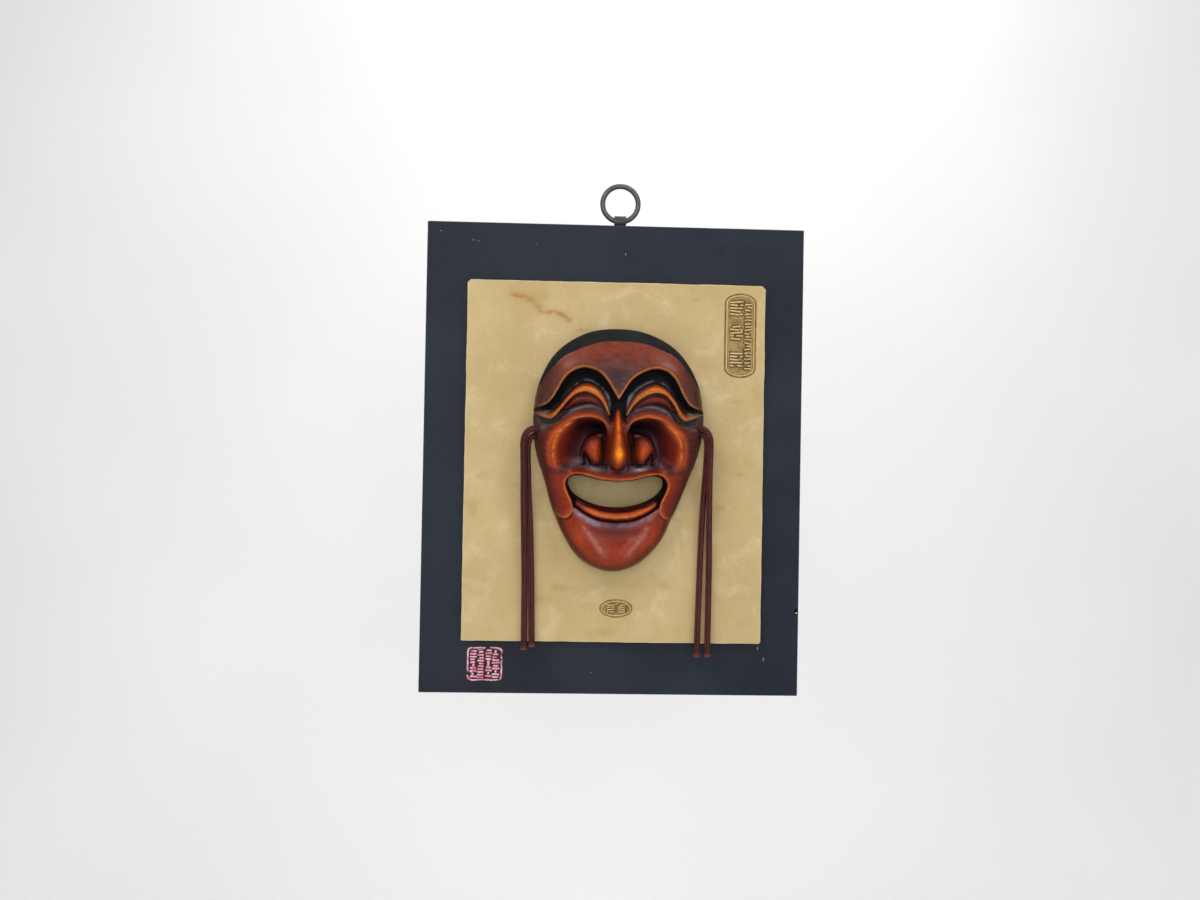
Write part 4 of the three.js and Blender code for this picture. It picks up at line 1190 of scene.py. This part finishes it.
def sampled(grid, p, q):
    # value of the survey at each point
    col, row = [(v - faceGrid[edge]) / faceGrid["cell"] for v, edge in ((p, "left"), (q, "low"))]
    i = np.clip(np.floor(col).astype(int), 0, grid.shape[1] - 2)
    j = np.clip(np.floor(row).astype(int), 0, grid.shape[0] - 2)
    s, t = np.clip(col - i, 0, 1), np.clip(row - j, 0, 1)
    return mix(mix(grid[j, i], grid[j, i + 1], s), mix(grid[j + 1, i], grid[j + 1, i + 1], s), t)


def faceSurvey():
    # height of the whole face on a regular grid, its carved edges a little softened
    p, q = np.meshgrid(*[np.arange(faceGrid[edge], 0.01 - faceGrid[edge], faceGrid["cell"])
                         for edge in ("left", "low")])
    height = maskHeight(carvingAt(p.ravel(), q.ravel()), p.ravel(), q.ravel())
    return smoothed(height.reshape(p.shape), mask["softening"])


def castMask():
    p, q, index = discGrid(mask["across"], mask["up"], 0)
    points = [toFrame(p, q, sampled(faceGround, p, q))]
    faces, loop, count = gridFaces(index), loopOf(index), p.size
    edgeP, edgeQ = p[loop], q[loop]
    for level in mask["edgeLevels"]:
        points.append(toFrame(edgeP, edgeQ, np.full(len(loop), level)))
        deeper = list(range(count, count + len(loop)))
        faces += band(loop, deeper)
        loop, count = deeper, count + len(loop)
    p, q, index = discGrid(mask["across"] // 2, mask["up"] // 2, mask["backInset"])
    points.append(toFrame(p, q, hollowHeight(carvingAt(p, q), p, q)))
    faces += [face[:1] + face[:0:-1] for face in gridFaces(index + count)]
    back = loopOf(index + count)
    n = len(back)       # the back has half as many points round its edge
    for k in range(n):
        a, b = back[k], back[(k + 1) % n]
        c, d, e = loop[2 * k], loop[2 * k + 1], loop[(2 * k + 2) % (2 * n)]
        faces += [[d, c, a], [d, a, b], [e, d, b]]
    return meshPiece("mask_lacquered", np.vstack(points), faces)


def mouthPlug():
    right = curveThrough(mouthEdge, 12)
    loop = np.vstack([right, (right * [-1, 1])[::-1][1:-1]])[::-1]
    ends = [toFrame(*loop.T, np.full(len(loop), level)) for level in (40, -5)]
    return prism("mouthPlug", *ends)


def layer(under, amount, colour):
    # one wash of paint over what is there
    return under + (np.array(tone(*colour)[:3]) - under) * np.clip(amount, 0, 1)[:, None]


def maskPaint(p, q, at):
    half, inside = at["half"], at["inside"]
    brow, floor, ridge, arch, cheek, rim, chin, hair, wing = [at[k] for k in
        ("brow", "browFloor", "ridge", "arch", "cheek", "lipRim", "chin", "hair", "wing")]
    soft = 0.3
    belowBrow = brow < 0
    above = fade(-soft, soft, brow)
    groove = fade(soft, -soft, brow) * fade(-soft, soft, floor)
    slope = fade(soft, -soft, floor) * fade(-soft, soft, ridge) * belowBrow
    eye = fade(soft, -soft, ridge) * fade(-soft, soft, arch) * belowBrow * (floor < 0)
    under = fade(soft, -soft, arch) * belowBrow
    lens = eyeLens(half, q)
    mottle = unevenness(p, q, 5, 41)
    patchy = fade(-0.5, 0.6, unevenness(p, q, 3.0, 43))
    streaky = unevenness(p * 0.35, q, 1.5, 42)
    broken = fade(-0.6, 0.3, unevenness(p, q, 2.0, 44))
    paint = np.tile(np.array(tone(112, 46, 36)[:3]), (len(p), 1))

    def wash(amount, colour):
        nonlocal paint
        paint = layer(paint, amount, colour)

    def worn(least):
        # broken up in small spots, down to the least: rubbed through on the worn edge lines, and patchy on
        # the painted highlights
        return mix(least, 1, broken)

    # forehead
    wash(above, (126, 60, 43))
    wash(above * fade(12, 1, -hair) * (0.75 + 0.25 * mottle), (146, 66, 44))
    wash(above * blot(half, q, (0.5, 36), (13, 8.5)) * 0.95, (58, 36, 40))
    wash(above * fade(25, 36, half) * 0.85, (84, 50, 41))
    wash(above * fade(0.05, 0.9, streaky) * bell(half, 20) * fade(52, 44, q) * 0.35, (128, 88, 84))
    wash(above * fade(0.2, 1.0, -streaky) * 0.35, (72, 36, 32))
    wash(above * bell(brow - 1.0, 0.7) * 0.5 * patchy, (88, 38, 26))
    # black of the brow, and the slope below it
    wash(groove, (9, 12, 16))
    # painted reflection: a grey sheen in the black groove along its lower side, near the floor line
    wash(groove * fade(1.6, 0.1, floor) * 0.5 * broken, (52, 58, 66))
    share = shareOf(-floor, ridge - floor)
    lit = slope * fade(3, 9, half)
    wash(slope, (26, 15, 16))
    wash(lit * fade(0.22, 0.5, share), (122, 46, 22))
    wash(lit * fade(0.42, 0.76, share) * (0.8 + 0.2 * mottle), (188, 80, 22))
    wash(slope * bell(share - 0.72, 0.13) * bell(half - 15.5, 5.5) * 0.8, (234, 146, 32))
    wash(slope * fade(0.94, 1.0, share) * 0.5, (128, 52, 24))
    wash(slope * fade(33, 38, half) * 0.85 * worn(0.6), (134, 112, 88))
    # eye
    wash(eye, (62, 24, 24))
    wash(eye * fade(27, 33, half), (72, 66, 64))
    wash(eye * fade(-0.1, 0.7, lens), (84, 27, 22))
    wash(eye * fade(0.5, 1.6, lens) * (0.6 + 0.3 * mottle), (112, 36, 25))
    wash(eye * bell(lens + 0.3, 0.35) * fade(25.5, 24, q) * 0.8, (16, 9, 11))
    # painted highlight: a blue-grey line along the arch below the eye
    wash(eye * bell(arch - 0.75, 0.7) * fade(5, 9, half) * fade(30, 24, half) * 0.9 * worn(0.45),
         (124, 124, 136))
    # below the eye, up to the crest of the cheek
    below = under * fade(-soft, soft, cheek)
    wash(below, (104, 40, 30))
    wash(below * bell(-arch - 0.5, 0.8) * fade(36, 30, half), (58, 24, 24))
    wash(below * bell(-arch - 1.6, 0.6) * fade(36, 30, half) * 0.5, (112, 78, 76))
    wash(below * bell(cheek - 0.6, 1.9) * fade(-11, -5, q) * fade(5, 9, half) * (0.85 + 0.2 * mottle),
         (186, 76, 28))
    wash(below * bell(cheek - 0.4, 1.2) * fade(28, 31, half) * fade(-12, -6, q) * 0.8, (178, 74, 30))
    wash(below * fade(35.5, 38.5, half) * 0.85, (98, 50, 40))
    wash(below * fade(33, 37, half) * fade(8, 12, q) * 0.8 * mix(0.4, 1, patchy), (96, 88, 84))
    wash(under * bell(cheek, 0.45) * fade(4, 9, q) * 0.75 * worn(0.6), (224, 122, 62))
    # hollow of the cheek
    hollow = under * fade(soft, -soft, cheek)
    outer = hollow * fade(20, 27, half)
    wash(hollow, (74, 24, 28))
    wash(outer * bell(cheek + 5.5, 3.0), (112, 34, 24))
    wash(outer * bell(cheek + 1.4, 2.2) * (0.85 + 0.25 * mottle), (200, 82, 18))
    wash(outer * bell(cheek + 1.3, 0.45) * fade(-8, -2, q) * 0.8 * broken, (236, 140, 46))
    wash(hollow * bell(cheek, 2.4) * fade(25, 15, half), (98, 30, 22))
    wash(hollow * blot(half, q, (10.5, 11), (8.5, 4.2)), (13, 11, 15))
    # between the brows, beside the nose
    inward = fade(12, 6, half) * fade(14, 17, q) * fade(31, 26, q)
    # painted highlights: grey lines along the brow's floor line, between the brows and over the arcs
    wash(belowBrow * bell(floor, 0.7) * inward * 0.95 * worn(0.4), (134, 142, 156))
    wash(belowBrow * bell(floor + 0.2, 0.35) * fade(27, 20, half) * fade(24, 30, q) * 0.85 * broken,
         (100, 106, 116))
    wash(belowBrow * fade(5.2, 3.6, half) * fade(12, 14, q), (14, 16, 20))
    # nose
    width = noseProfile(q)[0]
    nose = fade(1.03, 0.96, half / width) * fade(20.8, 19.8, q) * (q > mask["noseLow"])
    wash(nose, (96, 34, 24))
    wash(nose * bell(half / width, 0.52), (162, 60, 18))
    wash(nose * bell(p - 0.3, mix(0.8, 1.7, fade(12, 2, q))) * fade(20, 14, q) * 0.85, (216, 100, 20))
    wash(nose * bell(p - 0.6, 0.5) * fade(18, 12, q) * fade(1, 6, q) * 0.6 * broken, (236, 148, 60))
    # painted highlight: a yellow glint on the tip of the nose
    wash(nose * blot(p, q, (0.7, -2.2), (2.0, 2.8)), (255, 170, 14))
    wash(nose * fade(-5.5, -9, q) * 0.7, (100, 32, 22))
    # wings of the nose
    pillow = fade(-0.1, 0.4, wingInside(at, q))
    shell = fade(0.2, -0.3, wing) * (1 - nose) * (half > 6.4) * (q > -7.7)
    bare = shell * (1 - pillow)
    wash(bare, (86, 36, 33))
    wash(bare * fade(8.8, 7.8, half) * 0.75, (38, 20, 23))
    wash(shell * bell(wing + 0.7, 0.7) * fade(7, 10, half) * worn(0.5), (150, 104, 100))
    wash(bare * fade(13, 15, half) * fade(0.5, -1, q) * 0.9, (34, 12, 12))
    wash(pillow, (108, 36, 24))
    wash(pillow * fade(2.5, 7, q) * 0.6, (78, 30, 26))
    wash(pillow * fade(1.6, 0.2, wingInside(at, q)) * 0.5, (58, 20, 20))
    wash(pillow * blot(half, q, (12.6, -0.8), (3.0, 3.9)), (206, 84, 24))
    # muzzle and upper lip
    lip = fade(-7.4, -8.0, q) * fade(-soft, soft, rim) * fade(31, 26, half) * (1 - nose)
    lip = np.maximum(lip, hollow * fade(-2, -7, q) * bell(half - 21.5, 3.2) * 0.9)
    wash(lip, (92, 50, 55))
    # painted highlights: pale glints on the muzzle and a grey-purple sheen beside it
    wash(lip * blot(half, q, (12.5, -10.1), (5.2, 1.7)) * mix(0.45, 1, fade(-0.4, 0.5, streaky)),
         (214, 206, 216))
    wash(lip * blot(half, q, (20.5, -6.8), (3.4, 3.6)) * 0.9 * mix(0.3, 1, patchy), (150, 132, 148))
    wash(lip * fade(7, 2, half) * 0.6, (100, 38, 32))
    wash(lip * fade(4.0, 2.0, rim) * (q > -17), (140, 48, 24))
    wash(bell(q + 7.7, 0.4) * (half < 19) * (1 - nose), (9, 5, 6))
    beside = fade(-6, -8, q) * fade(-15, -11, q) * fade(23, 26, half) * fade(33, 28, half)
    wash(beside * fade(-soft, soft, rim) * 0.75, (62, 28, 32))
    # jowl flaps
    flap = fade(-soft, soft, rim) * fade(-11, -14, q) * fade(22, 25, half)
    wash(flap, (146, 44, 22))
    wash(flap * fade(3.5, 0.6, rim) * 0.7, (162, 58, 26))
    wash(flap * fade(3.2, 0.4, rim) * fade(-25, -31, q), (188, 80, 24))
    wash(flap * fade(7, 1, inside) * 0.7, (90, 38, 28))
    wash(bell(rim - 0.25, 0.42) * fade(-11, -12.6, q) * (inside > 1.5) * 0.9 * worn(0.7), (226, 122, 62))
    # inside of the mouth, lower lip and chin
    jaw = fade(soft * 0.4, -soft, rim)
    wide = lipWidth(half)
    wash(jaw, (22, 9, 10))
    wash(jaw * fade(wide, wide + 0.6, chin) * fade(21, 14, half), (60, 16, 13))
    ribbon = jaw * fade(1.0, 1.5, chin) * fade(wide + 0.2, wide - 0.3, chin) * fade(21.6, 20.4, half)
    wash(ribbon, (112, 36, 27))
    wash(ribbon * bell(chin - 0.6 - wide / 2, 1.3) * fade(21.5, 17, half) * fade(-20, -12, p), (214, 98, 28))
    wash(ribbon * bell(chin - wide / 2, 0.4) * fade(17, 10, half) * 0.5 * broken, (232, 140, 86))
    zone = jaw * fade(soft, -soft, chin)
    edge = chinEdge(half, q)
    wash(zone, (158, 52, 20))
    wash(zone * blot(half, q, (18, -43), (5, 8)) * 0.85, (190, 70, 16))
    wash(zone * fade(-49, -57, q) * 0.8, (168, 58, 14))
    wash(zone * fade(-50, -39, q) * bell(half, 15) * 0.9, (86, 42, 48))
    # painted highlights: a grey-blue sheen along the top of the chin, stronger on the left, and pale streaks
    # down its facets
    sides = mix(0.35, 1, bell(half - 14.5, 6)) * mix(1, 0.7, fade(-4, 4, p))
    wash(zone * bell(chin + 1.5, 1.4) * sides * worn(0.45), (150, 148, 166))
    wash(zone * bell(edge, 1.5) * fade(-38, -42, q) * fade(-57, -51, q) * (0.3 + 0.25 * broken),
         (206, 142, 128))
    wash(zone * bell(edge + 3.5, 1.6) * fade(-42, -46, q) * fade(-56, -50, q) * 0.2, (196, 120, 104))
    wash(zone * fade(5, 1, inside) * 0.65, (84, 32, 22))
    # painted shadow under the bottoms of the jowl flaps
    wash(jaw * fade(-1.8, -0.4, rim) * fade(-31, -34, q) * 0.8, (44, 17, 16))
    wash(jaw * bell(chin - 0.5, 0.6) * 0.95, (13, 8, 9))
    # thin bright lines rubbed through on the sharp edges, then the hair
    wash(bell(brow - 0.2, 0.4) * (inside > 2.5) * mix(0.95, 0.35, fade(27, 34, half)) * worn(0.7),
         (214, 138, 62))
    wash(bell(brow - 0.2, 0.22) * bell(q - 28, 6) * 0.6, (236, 184, 130))
    wash(bell(ridge - 0.2, 0.4) * belowBrow * fade(36, 32, half) * 0.85 * worn(0.6), (232, 156, 70))
    wash(outerCheek(at, q) * cheekCreases(half, q) * 0.6, (48, 22, 20))
    wash(fade(7, 1.5, inside) * (hair < -0.4) * 0.45, (62, 34, 30))
    wash(fade(-0.25, 0.25, hair), (35, 37, 40))
    wash(fade(0.3, 1.0, mottle) * fade(0, 1, hair) * 0.25, (50, 53, 56))
    return paint


def maskFinish():
    finish, tree, shader = newFinish("antiqueLacquer", 0.34, specular=0.11)
    where = surfacePlace(tree)
    matt = attribute(tree, "matt")
    patch = cloud(where, 9, 4, 0.6, 0.4)
    fine = cloud(where, 0.8, 4, 0.65)
    brush = cloud(surfacePlace(tree, (0.3, 1, 1), (0, 8, 0)), 1.2, 5, 0.65, 0.4)
    colour = attribute(tree, "paint", "Color")
    colour = blend(remap(patch, 0.3, 0.7, 0.0, 0.28), colour, (86, 44, 36), "OVERLAY")
    colour = blend(remap(brush, 0.48, 0.72, 0, 0.38), colour, (26, 12, 13))
    colour = blend(remap(fine, 0.3, 0.7, 0, 0.3), colour, (70, 50, 42), "OVERLAY")
    colour = blend(remap(brush, 0.46, 0.3, 0, 0.22), colour, (196, 116, 84), "SOFT_LIGHT")
    # dark antiquing wash left in the deep carving, with painted shade in its recesses; lacquer rubbed off the
    # high edges
    colour = blend(attribute(tree, "sunk") * remap(fine, 0.3, 0.6, 0.6, 1.0), colour, (9, 7, 9))
    high = attribute(tree, "high") * remap(patch, 0.3, 0.6, 0.35, 1.0)
    colour = blend(high * 0.14, colour, (220, 120, 52), "LIGHTEN")
    colour = blend(remap(cloud(where, 1.3, 3, 0.8), 0.62, 0.72, 0, 0.45), colour, (24, 11, 12))
    dust = remap(cloud(where, 0.9, 3, 0.8), 0.66, 0.76, 0, 0.25)
    colour = blend(dust * (1.0 - matt), colour, (150, 112, 100))
    feed(shader.inputs["Base Color"], colour)
    feed(shader.inputs["Roughness"], remap(patch, 0.3, 0.7, 0.26, 0.42) + matt * 0.25)
    feed(shader.inputs["Specular IOR Level"], remap(matt, 0, 1, 0.13, 0.06))
    feed(shader.inputs["Coat Weight"], remap(matt, 0, 1, 0.09, 0.0))
    shader.inputs["Coat Roughness"].default_value = 0.2
    raised(shader, [(patch, 0.12), (brush, 0.07), (fine, 0.04)])
    return finish


def makeMask():
    face = castMask()
    cutAway(face, mouthPlug())
    for route in cordRoutes.values():
        a, _, b = inFrame(route)[:3]
        way = 8 * (b - a) / np.linalg.norm(b - a)
        cutAway(face, roundPeg("hole", a - way, a + way, mask["cordHole"], 28))
    mesh = face.data
    x, y, z = pointsOf(mesh)
    p, q, h = x - maskCentre[0], z - maskCentre[1], plateFace - y
    at = carvingAt(p, q)
    behind = fade(1.2, 2.4, sampled(faceGround, p, q) - h)
    paint = layer(maskPaint(p, q, at), behind, (40, 30, 26))
    paint = layer(paint, behind * fade(-0.2, 0.8, unevenness(p, q, 8, 51)) * 0.6, (62, 44, 36))
    # how far each point lies below or above its surroundings, near and wide
    tight, wide = [sampled(faceGround - smoothed(faceGround, reach), p, q) for reach in (0.9, 3.2)]
    nearWing = (at["wing"] < 1.5) * (q < 10) * (q > -8)
    inEye = (at["ridge"] < 0) * (at["arch"] > 0)
    clear = fade(1.5, 4, at["inside"]) * (1 - behind) * (1 - nearWing) * (1 - 0.75 * inEye)
    # sunk: darker in the narrow grooves and a little in the broad hollows, an antiquing wash together with
    # painted shade
    sunk = np.clip(fade(0.1, 0.7, -tight) * 0.75 + fade(1.0, 3.0, -wide) * 0.12, 0, 1) * clear
    high = fade(0.08, 0.5, tight) * clear * (at["hair"] < -0.3) * np.clip(paint[:, 0] / 0.2, 0, 1)
    # where the black or dull paint takes the shine away
    matt = behind + fade(-0.2, 0.2, at["hair"]) + (at["brow"] < 0) * (at["browFloor"] > -1.5)
    corner = fade(18.5, 20.5, at["half"]) * (at["chin"] > 0.5)
    matt = matt + (at["lipRim"] < 0) * (bell(at["chin"] - 0.5, 0.9) + corner)
    matt = matt + 1.2 * blot(at["half"], q, (11, 10), (9, 5)) * (at["cheek"] < 0)
    for name, values in (("sunk", sunk * 0.85), ("high", high), ("matt", np.clip(matt, 0, 1))):
        record(mesh, name, values)
    made = mesh.attributes.new("paint", "FLOAT_COLOR", "POINT")
    made.data.foreach_set("color", np.column_stack([paint, np.ones(len(p))]).astype(np.float32).ravel())
    dress(face, maskFinish(), 75)
    handOver(face, "plaque", "mask")


faceGround = faceSurvey()
makeMask()


# ring, strap and screw

hanger = {
    "ringRadius": 9.525, "ringWire": 1.375, "ringCentre": -8.15,
    "pivot": -17.675,
    "strapWidth": 6.2, "sheet": 0.8, "loopInner": 2.2, "strapLow": -39.975,
    "strapSlit": (13.5, 0.04),      # height and half the width of the gap between the strip's halves
    "screwHead": 2.4, "screwHigh": 1.2, "screwShank": 1.2, "screwLong": 5.5, "screwAt": -33.975,
    "slot": (1.25, 0.22, 0.75),     # half length, half width and depth of the screw's cross
}


def steelFinish():
    finish, tree, shader = newFinish("blackedSteel", 0.42, metallic=0.2, specular=0.35)
    where = surfacePlace(tree)
    patch = cloud(where, 3.5, 4, 0.65)
    fine = cloud(where, 0.35, 3, 0.6)
    colour = blend(remap(patch, 0.35, 0.65), (24, 27, 31), (38, 42, 46))
    # painted highlight: the ring's forward-facing side made paler grey, its sides left dark
    forward = parted(coordinate(tree, "Normal"))[1] * -1.0
    frontHighlight = remap(forward, 0.55, 0.98) * attribute(tree, "ringFrontHighlight")
    colour = blend(frontHighlight * remap(patch, 0.3, 0.6, 0.6, 1.0), colour, (92, 96, 92))
    colour = blend(remap(fine, 0.55, 0.75, 0, 0.3), colour, (96, 102, 100))
    pointed = Wire(tree.nodes.new("ShaderNodeNewGeometry").outputs["Pointiness"])
    colour = blend(remap(pointed, 0.52, 0.6, 0, 0.5), colour, (150, 154, 148))
    feed(shader.inputs["Base Color"], colour)
    feed(shader.inputs["Roughness"], remap(patch, 0.3, 0.7, 0.3, 0.5))
    raised(shader, [(fine, 0.02), (patch, 0.05)])
    return finish


def makeRing(finish):
    # a bent wire whose ends are butted behind the strap
    around, section = 120, 22
    radius, wire, level = hanger["ringRadius"], hanger["ringWire"], hanger["ringCentre"]
    points, faces = [], []
    for i in range(around):
        a = 2 * math.pi * i / around - math.pi / 2
        joint = math.exp(-((min(i, around - i)) / 0.9) ** 2)
        for j in range(section):
            b = 2 * math.pi * j / section
            r = wire * (1 - 0.06 * joint + 0.012 * math.sin(3 * a + 2 * b) + 0.008 * math.sin(11 * a - b))
            out = radius + r * math.cos(b)
            points.append([out * math.cos(a), r * math.sin(b), level + out * math.sin(a)])
        here, onward = i * section, (i + 1) % around * section
        faces += band(range(onward, onward + section), range(here, here + section))
    ring = meshPiece("ring_steel", points, faces, True)
    dress(ring, finish, 180)
    # only the ring carries the painted highlight of its forward-facing side
    record(ring.data, "ringFrontHighlight", np.ones(len(ring.data.vertices)))
    handOver(ring, "ring", "hanging_ring")


def makeStrap(finish, nearY, farY):
    # one strip folded round the ring's wire, both ends flat against each other
    inner, low, pivot, screwAt = [hanger[key] for key in ("loopInner", "strapLow", "pivot", "screwAt")]
    outer, middle = inner + hanger["sheet"], (nearY + farY) / 2
    slit, apart = hanger["strapSlit"]
    half = hanger["strapWidth"] / 2
    contour = [(nearY, low), (middle - apart, low), (middle - apart, low + slit),
               (middle + apart, low + slit), (middle + apart, low), (farY, low)]
    contour += [(outer * math.cos(a), pivot + outer * math.sin(a))
                for a in np.linspace(-math.acos(farY / outer), 2 * math.pi - math.acos(nearY / outer), 48)]
    strap = prism("strap_steel", [(-half, y, z) for y, z in contour], [(half, y, z) for y, z in contour])
    cutAway(strap, roundPeg("eye", (-half - 1, 0, pivot), (half + 1, 0, pivot), inner, 48))
    cutAway(strap, roundPeg("hole", (0, nearY - 1, screwAt), (0, farY + 1, screwAt), board["screwHole"], 28))
    edges = strap.modifiers.new("softEdges", "BEVEL")
    edges.width, edges.segments, edges.limit_method = 0.12 * mm, 2, "ANGLE"
    edges.angle_limit = math.radians(50)
    settle(strap)
    dress(strap, finish, 40)
    handOver(strap, "plaque", "ring_strap")


def makeScrew(finish, farY):
    # a domed head with a cross cut in it, on a threaded shank
    head, high, shank, long, screwAt = [hanger[key] for key in
        ("screwHead", "screwHigh", "screwShank", "screwLong", "screwAt")]
    root = shank * 0.82
    profile = [(shank * 0.45, 0.6 - long), (shank * 0.8, 1.2 - long)]
    for k in range(7):
        start = 1.4 - long + k * 0.55
        profile += [(root, start), (shank, start + 0.22)]
    profile += [(root, -0.1), (root, 0), (head - 0.1, 0), (head, 0.12)]
    profile += [(head * math.cos(a), 0.12 + (high - 0.12) * math.sin(a))
                for a in np.linspace(0.15, math.pi / 2, 9)[:-1]]
    sides = 36
    points = [(r * c, farY + along, screwAt + r * s) for r, along in profile for c, s in circle(sides)]
    rings = [range(i * sides, (i + 1) * sides) for i in range(len(profile))]
    faces = [face for one, other in zip(rings[1:], rings[:-1]) for face in band(one, other)]
    for ring, tip in ((rings[0], -long), (rings[-1], high)):
        faces += [[ring[(k + 1) % sides], ring[k], len(points)] for k in range(sides)]
        points.append((0, farY + tip, screwAt))
    screw = meshPiece("screw_steel", points, faces, True)
    slotLong, slotWide, deep = hanger["slot"]
    for wide, tall in ((slotLong, slotWide), (slotWide, slotLong)):
        cutAway(screw, brick("cross", (-wide, farY + high - deep, screwAt - tall),
                             (wide, farY + high + 1, screwAt + tall)))
    dress(screw, finish, 35)
    handOver(screw, "plaque", "strap_screw")


def makeHanger():
    finish = steelFinish()
    nearY = board["high"][1] - board["rebate"][1]
    farY = nearY + 2 * hanger["sheet"]
    makeRing(finish)
    makeStrap(finish, nearY, farY)
    makeScrew(finish, farY)


makeHanger()

print("plaque finished")
